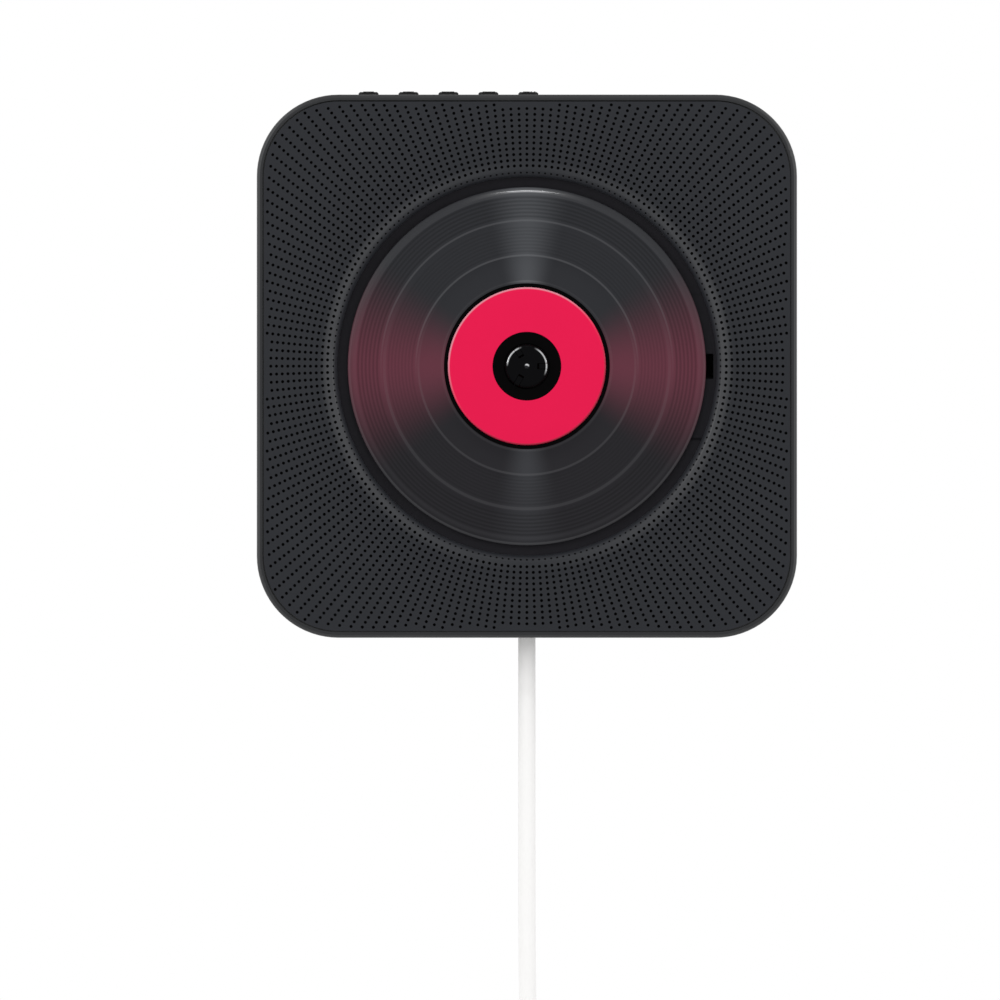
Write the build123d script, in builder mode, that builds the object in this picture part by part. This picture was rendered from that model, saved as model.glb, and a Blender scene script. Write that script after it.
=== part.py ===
"""Wall mounted disc player with a pull cord: an assembly of separate pieces, in millimetres.

+X is right and +Z is up as seen from the room, and the front faces -Y. The origin lies on the wall plane, at the
centre of the wall bracket's rear face, and the disc turns on the Y axis through it. A depth is a distance from the
wall towards the room, along -Y. A gap is the clearance between two pieces on each side.
"""

import os
from math import cos, hypot, radians, sin

from build123d import *

os.makedirs("parts", exist_ok=True)

# Case
case_width = 181.0
case_height = 182.0
case_depth = 40.0
corner_radius = 27.4
case_wall = 1.9
front_round = 1.5
rear_bevel = 2.0
seam_depth = 4.2
pad_thickness = 1.2
pad_radius = 6.0
pad_inset = 22.0
cover_thickness = 2.2
locating_lip_height = 2.8
locating_lip_thickness = 1.2
locating_lip_gap = 0.15
ledge_width = 2.2
ledge_thickness = 1.7

# Front panel with its sound holes and the round lip of the well
panel_thickness = 2.0
panel_groove = 0.35
well_radius = 63.5
well_lip_round = 2.8
well_wall = 1.6
well_floor_below_disc = 2.0
hole_diameter = 1.0
hole_spokes = 200
hole_ring_pitch = 1.903
hole_first_ring = 66.76
hole_field_margin = 3.3
sound_patch_radius = 8.0
sound_hole_sides = 6

# Disc, label and turntable
disc_radius = 60.0
disc_bore = 15.0
disc_thickness = 1.2
disc_sink = 3.5
disc_edge_bevel = 0.2
disc_groove_radius = 27.15
disc_groove_width = 1.3
disc_groove_depth = 0.2
label_radius = 26.5
label_bore_radius = 11.5
label_thickness = 0.3
label_edge_bevel = 0.2
platter_radius = 15.0
platter_thickness = 1.4
platter_gap = 1.5
hub_bore_gap = 0.15
hub_height = 3.0
hub_edge_bevel = 0.65
hub_sleeve_radius = 3.2
hub_sleeve_length = 3.7
shaft_radius = 1.0
shaft_stands_out = 0.4
shaft_end_bevel = 0.3
press_gap = 0.02
running_gap = 0.05

# Disc catches in the hub
catch_count = 3
catch_first_angle = 0.0
catch_width = 1.7
catch_outer_radius = 7.25
catch_length = 3.1
catch_height = 1.4
catch_nose_round = 0.5
catch_travel = 0.5
catch_side_gap = 0.15
catch_floor_gap = 0.05

# Deck of the well and the mechanism cover in it
deck_thickness = 1.6
deck_rim = 3.4
deck_ear_radius = 71.5
deck_ear_width = 8.0
deck_ear_count = 4
cover_plate_thickness = 0.8
cover_plate_half_height = 24.0
cover_plate_left = 20.0
cover_plate_seat = 3.0
cover_plate_gap = 0.1
cover_plate_low_gap = 0.8
cover_plate_right_radius = 65.8
deck_window_right_radius = 64.5
pickup_window_half_height = 4.2
pickup_window_end = 62.5

# Mechanism chassis, rods and dampers
chassis_thickness = 1.5
chassis_below_deck = 2.3
chassis_left = -24.0
chassis_side_gap = 4.6
chassis_corner = 5.0
damper_left = -18.0
damper_right = 50.0
damper_top = 27.0
damper_bottom = -36.0
damper_margin = 5.0
damper_neck_radius = 2.7
damper_flange_radius = 3.9
damper_flange_height = 1.2
damper_bore_radius = 1.6
rod_radius = 1.5
rod_spread = 19.0
rod_below_chassis = 4.4
rod_bracket_width = 5.4
rod_bracket_thickness = 3.0
rod_bracket_floor = 0.5
rod_bracket_left = 9.0
rod_bracket_inset = 4.0

# Pickup sled, lens and lead screw
lens_start_radius = 23.0
sled_travel = 35.0
sled_end_gap = 2.0
sled_lens_offset = 10.0
sled_height = 6.4
sled_edge = 2.9
sled_below_chassis = 1.5
sled_corner = 2.5
tower_width = 18.0
tower_height = 4.6
tower_corner = 2.0
tower_opening = 9.4
lens_holder_length = 8.0
lens_holder_width = 7.6
lens_holder_height = 4.9
lens_holder_corner = 1.2
lens_holder_gap = 0.8
lens_radius = 2.4
lens_rise = 0.8
lens_bevel = 0.5
screw_radius = 1.5
screw_journal_radius = 1.0
screw_height = -28.0
screw_below_chassis = 6.4
screw_end_gap = 0.3
nut_gap = 0.3
nut_wall = 1.6
nut_length = 10.0
sled_motor_radius = 6.0
sled_motor_length = 21.0
sled_motor_flats = 10.2
sled_motor_bracket = 1.5

# Spindle motor
motor_radius = 12.0
motor_length = 12.0
motor_boss_radius = 3.4
motor_boss_height = 1.3
motor_floor = 1.0

# Speakers
speaker_radius = 20.0
speaker_corner_inset = 26.5
speaker_flange_thickness = 1.6
speaker_flange_width = 2.8
speaker_basket_depth = 10.4
speaker_basket_radius = 11.0
speaker_basket_wall = 1.2
speaker_magnet_radius = 9.5
speaker_magnet_height = 6.0
speaker_cone_thickness = 0.5
speaker_cone_depth = 6.4
speaker_dome_rise = 1.4
speaker_coil_radius = 4.8
speaker_coil_wall = 0.4
speaker_coil_gap = 0.4

# Keys on the top edge
key_names = ["key_volume_down", "key_volume_up", "key_previous", "key_next", "key_play"]
key_pitch = 13.4
key_first = -53.1
key_depth = 22.0
key_width = 6.7
key_length = 9.0
key_corner = 1.2
key_gap = 0.15
key_stands_out = 1.0
key_bevel = 0.5
key_travel = 0.7
key_flange = 1.0
key_flange_width = 1.0
key_stem = 3.2
key_end_gap = 0.02
key_post = 3.0
key_board_drop = 8.9
key_board_thickness = 1.2
key_board_width = 16.0
key_board_margin = 7.8
switch_width = 6.0
switch_height = 3.5
switch_plunger_radius = 1.7
switch_plunger_height = 1.5

# Main board and headphone socket. A chip is (x, height above the board's middle, width, height, thickness) and a
# capacitor is (x, height above the board's middle)
board_width = 124.0
board_height = 42.0
board_top_gap = 5.1
board_thickness = 1.6
board_depth = 11.0
board_post_radius = 3.0
board_post_inset = 6.0
jack_x = 48.0
jack_width = 6.0
jack_length = 14.8
jack_barrel_radius = 2.9
jack_barrel_length = 3.0
jack_bore_radius = 1.8
jack_bore_depth = 15.0
jack_gap = 0.1
jack_hole_radius = 3.6
board_chips = [(-30, -7, 14, 14, 1.6), (-4, -9, 10, 8, 1.6), (18, -13, 6, 12, 5.0), (-52, -1, 6, 16, 6.0)]
board_capacitors = [(30, -3), (40, -3), (30, 9)]
capacitor_radius = 4.0
capacitor_height = 9.0

# Screws
case_screw_boss_radius = 3.6
case_screw_boss_bite = 0.2
case_screw_boss_length = 17.0
case_screw_spread = 72.0
case_screw_radius = 1.4
case_screw_length = 12.0
small_screw_radius = 1.1
screw_head_ratio = 2.0
screw_head_height = 1.4
screw_hole_gap = 0.2
pilot_gap = 0.05
pilot_extra_depth = 0.6
small_round_sides = 8

# Wall bracket and the rear recess that takes it
bracket_width = 84.0
bracket_height = 62.0
bracket_thickness = 2.4
bracket_corner = 6.0
bracket_gap = 0.6
bracket_floor_gap = 0.4
recess_floor = 2.0
recess_border = 1.6
wall_screw_spacing_x = 36.0
wall_screw_spacing_z = 44.0
wall_screw_hole_radius = 2.25
wall_screw_sink_radius = 4.2
hook_x = 32.0
hook_z = 14.0
hook_width = 8.0
hook_stem = 4.0
hook_tip = 6.0
hook_tip_thickness = 1.7
hook_side_gap = 0.4
hook_play = 0.3
lift_travel = 8.0
vent_count = 7
vent_pitch = 5.0
vent_width = 2.0
vent_length = 24.0
vent_height = -62.0

# Pull cord with its slider, spring and switch
cord_radius = 2.9
bushing_radius = 4.5
bushing_gap = 0.1
bushing_flange_radius = 6.5
bushing_flange_height = 1.0
bushing_bore_gap = 0.4
pull_travel = 5.0
slider_width = 14.0
slider_thickness = 10.0
slider_length = 12.0
slider_above_floor = 29.1
slider_gap = 0.2
slider_front_gap = 3.3
slider_arm_reach = 17.0
slider_arm_height = 2.5
slider_foot_length = 10.0
slider_foot_width = 5.5
rail_thickness = 1.6
rail_width = 12.0
rail_play = 0.5
spring_radius = 4.3
spring_wire = 0.8
spring_turns = 3.0
pull_switch_width = 5.8
pull_switch_depth = 8.0
pull_switch_height = 12.2
pull_switch_button_radius = 1.0
pull_switch_gap = 0.3

# Put-away end of the cord: coil, tie, tail and plug
coil_radius = 33.5
coil_centre_z = -262.0
coil_layers = 2
coil_rows = 3
coil_section_bevel = 2.6
tie_gap = 0.5
tie_thickness = 1.2
tie_width = 8.0
tie_bevel = 2.0
tail_length = 45.0
plug_width = 15.6
plug_thickness = 8.0
plug_length = 22.0
plug_round = 1.5
plug_neck_length = 10.0
plug_neck_radius = 4.2
plug_shell_width = 12.0
plug_shell_thickness = 4.5
plug_shell_length = 12.0
plug_shell_wall = 0.4

# Values that follow from the ones above
inner_width = case_width - 2 * case_wall
inner_height = case_height - 2 * case_wall
inner_radius = corner_radius - case_wall
inner_top = inner_height / 2
panel_back = case_depth - panel_thickness
panel_width = inner_width - 2 * panel_groove
panel_height = inner_height - 2 * panel_groove
panel_radius = inner_radius - panel_groove
cover_inside = pad_thickness + cover_thickness
locating_lip_depth = seam_depth + locating_lip_height
lip_top_radius = well_radius + well_lip_round
disc_front = case_depth - disc_sink
disc_back = disc_front - disc_thickness
disc_bore_radius = disc_bore / 2
deck_front = disc_back - well_floor_below_disc
deck_back = deck_front - deck_thickness
deck_radius = well_radius + well_wall + deck_rim
platter_back = disc_back - platter_thickness
hub_radius = disc_bore_radius - hub_bore_gap
hub_front = disc_back + hub_height
hub_sleeve_back = platter_back - hub_sleeve_length
chassis_front = deck_back - chassis_below_deck
chassis_back = chassis_front - chassis_thickness
chassis_right = inner_width / 2 - chassis_side_gap
rod_bracket_right = chassis_right - rod_bracket_inset
chassis_centre = (
    (chassis_left + chassis_right) / 2,
    (damper_top + damper_bottom) / 2,
)
chassis_width = chassis_right - chassis_left
chassis_height = damper_top - damper_bottom + 2 * damper_margin
damper_centre = ((damper_left + damper_right) / 2, chassis_centre[1])
damper_spacing = (damper_right - damper_left, damper_top - damper_bottom)
damper_back = chassis_back - damper_flange_height
damper_front = chassis_front + damper_flange_height
rod_depth = chassis_back - rod_below_chassis
screw_depth = chassis_back - screw_below_chassis
sled_back = chassis_back - sled_below_chassis - sled_height
sled_left = lens_start_radius - sled_lens_offset
sled_length = rod_bracket_right - sled_end_gap - sled_travel - sled_left
sled_half_width = rod_spread + sled_edge
speaker_x = case_width / 2 - speaker_corner_inset
speaker_z = -(case_height / 2 - speaker_corner_inset)
key_centres = [(key_first + i * key_pitch, -key_depth) for i in range(len(key_names))]
key_board_top = inner_top - key_board_drop
key_flange_top = inner_top - key_gap
switch_top = key_board_top + switch_height + switch_plunger_height
case_screw_x = inner_width / 2 - case_screw_boss_radius + case_screw_boss_bite
board_front = board_depth + board_thickness
board_middle = inner_top - board_top_gap - board_height / 2
jack_depth = board_front + jack_width / 2
recess_outside = bracket_thickness + bracket_floor_gap
recess_inside = recess_outside + recess_floor
recess_width = bracket_width + 2 * bracket_gap
recess_height = bracket_height + 2 * bracket_gap + lift_travel
hook_front = recess_inside + hook_play + hook_tip_thickness
slider_top = slider_above_floor - inner_top
slider_bottom = slider_top - slider_length
cord_depth = deck_back - screw_head_height - slider_front_gap - slider_thickness / 2
rail_top = slider_top - slider_arm_height - pull_travel - rail_play
bushing_top = bushing_flange_height - inner_top
coil_x = -coil_radius
cover_boss_radius = case_screw_boss_radius - case_screw_boss_bite - locating_lip_gap
coil_thickness = 2 * cord_radius * coil_layers
coil_breadth = 2 * cord_radius * coil_rows
tail_end = coil_centre_z - tail_length
plug_end = tail_end - plug_neck_length - plug_length


def at_depth(depth):
    """The plane at this depth, drawn as seen from the room: local y is up, and it extrudes towards the room."""
    return Plane.XZ.offset(depth)


def at_height(height):
    """The level plane at this height: local x is X, local y is Y, so depths are negative on it."""
    return Plane.XY.offset(height)


def across(x):
    """The plane square to X at this x: local x is Y, so depths are negative, and local y is Z."""
    return Plane.YZ.offset(x)


def turning_plane(x=0, z=0):
    """The plane for a profile turned about a front-to-back axis: local x is the radius and local y the depth."""
    return Plane(origin=(x, 0, z), x_dir=(1, 0, 0), z_dir=(0, 0, -1))


def small_round(radius, mode=Mode.ADD):
    """A small round that repeats many times, drawn with a few flats that touch the circle of this radius."""
    flat_to_the_right = 180 / small_round_sides
    RegularPolygon(
        radius, small_round_sides, major_radius=False, rotation=flat_to_the_right, mode=mode
    )


def sound_hole_centres():
    """The grid's crossings of spokes and rings that lie in front of the two speakers."""
    centres = []
    half_width = panel_width / 2 - hole_field_margin
    half_height = panel_height / 2 - hole_field_margin
    rings = int((hypot(half_width, half_height) - hole_first_ring) / hole_ring_pitch)
    for ring in range(rings):
        radius = hole_first_ring + ring * hole_ring_pitch
        for spoke in range(hole_spokes):
            angle = radians(spoke * 360 / hole_spokes)
            x = radius * cos(angle)
            z = radius * sin(angle)
            near_speaker = hypot(abs(x) - speaker_x, z - speaker_z) < sound_patch_radius
            if near_speaker and abs(x) < half_width and abs(z) < half_height:
                centres.append((x, z))
    return centres


# Outer frame: the side walls with the rounded front rim, the ledge, the bosses and the guides
with BuildPart() as outer_frame:
    with BuildSketch(at_depth(seam_depth)):
        RectangleRounded(case_width, case_height, corner_radius)
    extrude(amount=case_depth - seam_depth)
    fillet(outer_frame.faces().sort_by(Axis.Y)[0].edges(), front_round)
    with BuildSketch(at_depth(seam_depth)):
        RectangleRounded(inner_width, inner_height, inner_radius)
    extrude(amount=panel_back - ledge_thickness - seam_depth, mode=Mode.SUBTRACT)
    with BuildSketch(at_depth(panel_back - ledge_thickness)):
        RectangleRounded(
            inner_width - 2 * ledge_width,
            inner_height - 2 * ledge_width,
            inner_radius - ledge_width,
        )
    extrude(amount=ledge_thickness, mode=Mode.SUBTRACT)
    with BuildSketch(at_depth(panel_back)):
        RectangleRounded(inner_width, inner_height, inner_radius)
    extrude(amount=panel_thickness, mode=Mode.SUBTRACT)
    with BuildSketch(at_depth(locating_lip_depth)):
        with GridLocations(2 * case_screw_x, case_screw_spread, 2, 2):
            small_round(case_screw_boss_radius)
    extrude(amount=case_screw_boss_length)
    with BuildSketch(at_depth(locating_lip_depth)):
        with GridLocations(2 * case_screw_x, case_screw_spread, 2, 2):
            small_round(case_screw_radius + pilot_gap)
    extrude(amount=case_screw_length + pilot_extra_depth, mode=Mode.SUBTRACT)
    with BuildSketch(at_height(inner_top)) as top_holes:
        with Locations(*key_centres):
            Rectangle(key_width + 2 * key_gap, key_length + 2 * key_gap)
        chamfer(top_holes.vertices(), key_corner)
        with Locations((jack_x, -jack_depth)):
            Circle(jack_hole_radius)
    extrude(amount=case_wall, mode=Mode.SUBTRACT)
    with BuildSketch(at_height(key_board_top)):
        with Locations(
            (key_centres[0][0] - key_board_margin + key_post / 2, -key_depth),
            (key_centres[-1][0] + key_board_margin - key_post / 2, -key_depth),
        ):
            Rectangle(key_post, key_length)
    extrude(amount=key_board_drop)
    with BuildSketch(at_height(-inner_top)):
        with Locations((0, -cord_depth)):
            with GridLocations(slider_width + 2 * slider_gap + rail_thickness, 1, 2, 1):
                Rectangle(rail_thickness, rail_width)
    extrude(amount=rail_top + inner_top)
    with BuildSketch(at_height(-case_height / 2)):
        with Locations((0, -cord_depth)):
            Circle(bushing_radius + bushing_gap)
    extrude(amount=case_wall, mode=Mode.SUBTRACT)
outer_frame.part.label = "outer_frame"
export_step(outer_frame.part, "parts/outer_frame.step")

# Front panel: the flat perforated face, the rolled lip, the well's wall and the bosses of the deck
with BuildPart() as front_panel:
    with BuildSketch(at_depth(panel_back)):
        RectangleRounded(panel_width, panel_height, panel_radius)
        Circle(lip_top_radius, mode=Mode.SUBTRACT)
        with Locations(*sound_hole_centres()):
            RegularPolygon(hole_diameter / 2, sound_hole_sides, mode=Mode.SUBTRACT)
    extrude(amount=panel_thickness)
    with BuildSketch(turning_plane()):
        with BuildLine():
            Polyline(
                (lip_top_radius, case_depth),
                (lip_top_radius, panel_back),
                (well_radius + well_wall, panel_back),
                (well_radius + well_wall, deck_front),
                (well_radius, deck_front),
                (well_radius, case_depth - well_lip_round),
            )
            CenterArc(
                (lip_top_radius, case_depth - well_lip_round), well_lip_round, 90, 90
            )
        make_face()
    revolve(axis=Axis.Y)
    with BuildSketch(at_depth(deck_front)):
        with PolarLocations(deck_ear_radius, deck_ear_count):
            small_round(small_screw_radius * screw_head_ratio + screw_hole_gap)
    extrude(amount=panel_back - deck_front)
    with BuildSketch(at_depth(deck_front)):
        with PolarLocations(deck_ear_radius, deck_ear_count):
            small_round(small_screw_radius + pilot_gap)
    extrude(amount=panel_back - deck_front, mode=Mode.SUBTRACT)
front_panel.part.label = "front_panel"
export_step(front_panel.part, "parts/front_panel.step")

# Rear cover: a shallow tray with a locating lip, screw bosses, board posts, vents and the hanging recess
with BuildPart() as rear_cover:
    with BuildSketch(at_depth(pad_thickness)):
        RectangleRounded(case_width, case_height, corner_radius)
    extrude(amount=seam_depth - pad_thickness)
    chamfer(rear_cover.faces().sort_by(Axis.Y)[-1].edges(), rear_bevel)
    with BuildSketch(at_depth(seam_depth)):
        RectangleRounded(
            inner_width - 2 * locating_lip_gap,
            inner_height - 2 * locating_lip_gap,
            inner_radius - locating_lip_gap,
        )
    extrude(amount=locating_lip_height)
    with BuildSketch(at_depth(cover_inside)):
        lip_offset = locating_lip_gap + locating_lip_thickness
        RectangleRounded(
            inner_width - 2 * lip_offset,
            inner_height - 2 * lip_offset,
            inner_radius - lip_offset,
        )
    extrude(amount=locating_lip_depth - cover_inside, mode=Mode.SUBTRACT)
    with BuildSketch(at_depth(cover_inside)):
        with Locations((0, -lift_travel / 2)):
            RectangleRounded(
                recess_width + 2 * recess_border,
                recess_height + 2 * recess_border,
                bracket_corner + recess_border,
            )
    extrude(amount=recess_inside - cover_inside)
    with BuildSketch(at_depth(cover_inside)):
        with GridLocations(2 * case_screw_x, case_screw_spread, 2, 2):
            small_round(cover_boss_radius)
    extrude(amount=locating_lip_depth - cover_inside)
    with BuildSketch(at_depth(cover_inside)):
        with Locations((0, board_middle)):
            with GridLocations(
                board_width - 2 * board_post_inset,
                board_height - 2 * board_post_inset,
                2,
                2,
            ):
                small_round(board_post_radius)
    extrude(amount=board_depth - cover_inside)
    with BuildSketch(at_depth(pad_thickness)):
        with Locations((0, -lift_travel / 2)):
            RectangleRounded(recess_width, recess_height, bracket_corner)
    extrude(amount=recess_outside - pad_thickness, mode=Mode.SUBTRACT)
    with BuildSketch(at_depth(recess_outside)):
        with Locations((-hook_x, hook_z + hook_stem), (hook_x, hook_z + hook_stem)):
            Rectangle(
                hook_width + 2 * hook_side_gap,
                hook_stem + lift_travel + hook_side_gap,
                align=(Align.CENTER, Align.MAX),
            )
    extrude(amount=recess_floor, mode=Mode.SUBTRACT)
    with BuildSketch(at_depth(pad_thickness)):
        with Locations((0, vent_height)):
            with GridLocations(vent_pitch, 1, vent_count, 1):
                Rectangle(vent_width, vent_length)
    extrude(amount=cover_thickness, mode=Mode.SUBTRACT)
    with BuildSketch(at_depth(pad_thickness)):
        with GridLocations(2 * case_screw_x, case_screw_spread, 2, 2):
            small_round(case_screw_radius + screw_hole_gap)
    extrude(amount=locating_lip_depth - pad_thickness, mode=Mode.SUBTRACT)
    with BuildSketch(at_depth(pad_thickness)):
        with GridLocations(2 * case_screw_x, case_screw_spread, 2, 2):
            small_round(case_screw_radius * screw_head_ratio + screw_hole_gap)
    extrude(amount=screw_head_height + screw_hole_gap, mode=Mode.SUBTRACT)
rear_cover.part.label = "rear_cover"
export_step(rear_cover.part, "parts/rear_cover.step")

# Rear screws: four pan-head screws from the cover into the frame's bosses
rear_head_front = pad_thickness + screw_head_height + screw_hole_gap
with BuildPart() as rear_screws:
    with BuildSketch(at_depth(rear_head_front - screw_head_height)):
        with GridLocations(2 * case_screw_x, case_screw_spread, 2, 2):
            small_round(case_screw_radius * screw_head_ratio)
    extrude(amount=screw_head_height)
    with BuildSketch(at_depth(rear_head_front)):
        with GridLocations(2 * case_screw_x, case_screw_spread, 2, 2):
            small_round(case_screw_radius)
    extrude(amount=locating_lip_depth + case_screw_length - rear_head_front)
rear_screws.part.label = "rear_screws"
export_step(rear_screws.part, "parts/rear_screws.step")

# Rubber pads between the rear cover and the wall
with BuildPart() as rubber_pads:
    with BuildSketch(at_depth(0)):
        with GridLocations(case_width - 2 * pad_inset, case_height - 2 * pad_inset, 2, 2):
            Circle(pad_radius)
    extrude(amount=pad_thickness)
rubber_pads.part.label = "rubber_pads"
export_step(rubber_pads.part, "parts/rubber_pads.step")

# Wall bracket: a plate screwed to the wall, with two upturned hooks that carry the player
with BuildPart() as wall_bracket:
    with BuildSketch(at_depth(0)):
        RectangleRounded(bracket_width, bracket_height, bracket_corner)
    extrude(amount=bracket_thickness)
    with BuildSketch(at_depth(bracket_thickness)):
        with Locations((-hook_x, hook_z), (hook_x, hook_z)):
            Rectangle(hook_width, hook_stem, align=(Align.CENTER, Align.MIN))
    extrude(amount=hook_front - bracket_thickness)
    with BuildSketch(at_depth(hook_front - hook_tip_thickness)):
        with Locations((-hook_x, hook_z), (hook_x, hook_z)):
            Rectangle(hook_width, hook_stem + hook_tip, align=(Align.CENTER, Align.MIN))
    extrude(amount=hook_tip_thickness)
    with Locations(at_depth(bracket_thickness)):
        with GridLocations(wall_screw_spacing_x, wall_screw_spacing_z, 2, 2):
            CounterSinkHole(wall_screw_hole_radius, wall_screw_sink_radius)
wall_bracket.part.label = "wall_bracket"
export_step(wall_bracket.part, "parts/wall_bracket.step")

# Deck plate: the floor of the well, screwed to the panel by four ears, with a window for the mechanism
with BuildPart() as deck_plate:
    with BuildSketch(at_depth(deck_back)):
        Circle(deck_radius)
        with PolarLocations(deck_ear_radius, deck_ear_count):
            Circle(deck_ear_width / 2)
        with PolarLocations(deck_radius, deck_ear_count):
            Rectangle(2 * (deck_ear_radius - deck_radius), deck_ear_width)
        with PolarLocations(deck_ear_radius, deck_ear_count):
            small_round(small_screw_radius + screw_hole_gap, Mode.SUBTRACT)
    extrude(amount=deck_thickness)
    with BuildSketch(at_depth(deck_back)):
        Circle(deck_window_right_radius)
        with Locations((cover_plate_seat / 3 - cover_plate_left, 0)):
            Rectangle(
                2 * deck_radius,
                2 * (cover_plate_half_height - cover_plate_seat),
                align=(Align.MIN, Align.CENTER),
                mode=Mode.INTERSECT,
            )
    extrude(amount=deck_thickness, mode=Mode.SUBTRACT)
    with BuildSketch(at_depth(deck_front - cover_plate_thickness)):
        Circle(cover_plate_right_radius + cover_plate_gap)
        with Locations(
            (-cover_plate_left - cover_plate_gap, cover_plate_half_height + cover_plate_gap)
        ):
            Rectangle(
                2 * deck_radius,
                2 * cover_plate_half_height + cover_plate_gap + cover_plate_low_gap,
                align=(Align.MIN, Align.MAX),
                mode=Mode.INTERSECT,
            )
    extrude(amount=cover_plate_thickness, mode=Mode.SUBTRACT)
    with BuildSketch(at_depth(damper_front)):
        with Locations(damper_centre):
            with GridLocations(*damper_spacing, 2, 2):
                small_round(damper_neck_radius)
    extrude(amount=deck_back - damper_front)
    with BuildSketch(at_depth(damper_front)):
        with Locations(damper_centre):
            with GridLocations(*damper_spacing, 2, 2):
                small_round(small_screw_radius + pilot_gap)
    extrude(amount=deck_back - damper_front + deck_thickness / 2, mode=Mode.SUBTRACT)
deck_plate.part.label = "deck_plate"
export_step(deck_plate.part, "parts/deck_plate.step")

# Deck screws: four short screws through the ears into the panel's bosses
with BuildPart() as deck_screws:
    with BuildSketch(at_depth(deck_back - screw_head_height)):
        with PolarLocations(deck_ear_radius, deck_ear_count):
            small_round(small_screw_radius * screw_head_ratio)
    extrude(amount=screw_head_height)
    with BuildSketch(at_depth(deck_back)):
        with PolarLocations(deck_ear_radius, deck_ear_count):
            small_round(small_screw_radius)
    extrude(amount=panel_back - deck_back - pilot_extra_depth)
deck_screws.part.label = "deck_screws"
export_step(deck_screws.part, "parts/deck_screws.step")

# Mechanism cover: a thin plate let into the deck, with the platter's hole and the pickup's window
with BuildPart() as mechanism_cover:
    with BuildSketch(at_depth(deck_front - cover_plate_thickness)):
        Circle(cover_plate_right_radius)
        with Locations((-cover_plate_left, 0)):
            Rectangle(
                2 * deck_radius,
                2 * cover_plate_half_height,
                align=(Align.MIN, Align.CENTER),
                mode=Mode.INTERSECT,
            )
        Circle(platter_radius + platter_gap, mode=Mode.SUBTRACT)
        Rectangle(
            pickup_window_end,
            2 * pickup_window_half_height,
            align=(Align.MIN, Align.CENTER),
            mode=Mode.SUBTRACT,
        )
    extrude(amount=cover_plate_thickness)
mechanism_cover.part.label = "mechanism_cover"
export_step(mechanism_cover.part, "parts/mechanism_cover.step")

# Mechanism chassis: a plate that hangs under the deck on rubber dampers and carries motors and rods
rod_ends = (rod_bracket_left, rod_bracket_right)
rod_heights = (-rod_spread, rod_spread)
rod_bracket_back = rod_depth - rod_bracket_width / 2
tower_path_left = lens_start_radius - tower_width / 2 - tower_corner
tower_path_length = sled_travel + tower_width + 2 * tower_corner
screw_bracket_back = screw_depth - rod_bracket_width / 2
motor_bracket_x = rod_bracket_left + rod_bracket_thickness - sled_motor_bracket / 2
with BuildPart() as mechanism_chassis:
    with BuildSketch(at_depth(chassis_back)):
        with Locations(chassis_centre):
            RectangleRounded(chassis_width, chassis_height, chassis_corner)
        Circle(motor_boss_radius + screw_hole_gap, mode=Mode.SUBTRACT)
        with Locations((tower_path_left, 0)):
            Rectangle(
                tower_path_length,
                tower_width + 2 * tower_corner,
                align=(Align.MIN, Align.CENTER),
                mode=Mode.SUBTRACT,
            )
        with Locations(damper_centre):
            with GridLocations(*damper_spacing, 2, 2):
                small_round(damper_neck_radius + pilot_gap, Mode.SUBTRACT)
    extrude(amount=chassis_thickness)
    with BuildSketch(at_depth(rod_bracket_back)):
        for x in rod_ends:
            for z in rod_heights:
                with Locations((x, z)):
                    Rectangle(
                        rod_bracket_thickness,
                        rod_bracket_width,
                        align=(Align.MIN, Align.CENTER),
                    )
    extrude(amount=chassis_back - rod_bracket_back)
    with BuildSketch(at_depth(screw_bracket_back)):
        with Locations((rod_bracket_right, screw_height)):
            Rectangle(
                rod_bracket_thickness,
                rod_bracket_width,
                align=(Align.MIN, Align.CENTER),
            )
    extrude(amount=chassis_back - screw_bracket_back)
    with BuildSketch(at_depth(screw_depth - sled_motor_radius)):
        with Locations((motor_bracket_x, screw_height)):
            Rectangle(sled_motor_bracket, 2 * sled_motor_radius)
    extrude(amount=chassis_back - screw_depth + sled_motor_radius)
    with BuildSketch(across(rod_bracket_left + rod_bracket_floor)):
        with Locations(*[(-rod_depth, z) for z in rod_heights]):
            small_round(rod_radius + press_gap)
    rod_length = rod_bracket_right + rod_bracket_thickness - rod_bracket_left - 2 * rod_bracket_floor
    extrude(amount=rod_length, mode=Mode.SUBTRACT)
    with BuildSketch(across(motor_bracket_x - sled_motor_bracket)):
        with Locations((-screw_depth, screw_height)):
            small_round(screw_journal_radius + running_gap)
    extrude(amount=chassis_right, mode=Mode.SUBTRACT)
mechanism_chassis.part.label = "mechanism_chassis"
export_step(mechanism_chassis.part, "parts/mechanism_chassis.step")

# Guide rods: two ground rods seated in the chassis brackets
with BuildPart() as guide_rods:
    with BuildSketch(across(rod_bracket_left + rod_bracket_floor)):
        with Locations(*[(-rod_depth, z) for z in rod_heights]):
            Circle(rod_radius)
    extrude(amount=rod_length)
guide_rods.part.label = "guide_rods"
export_step(guide_rods.part, "parts/guide_rods.step")

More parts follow.
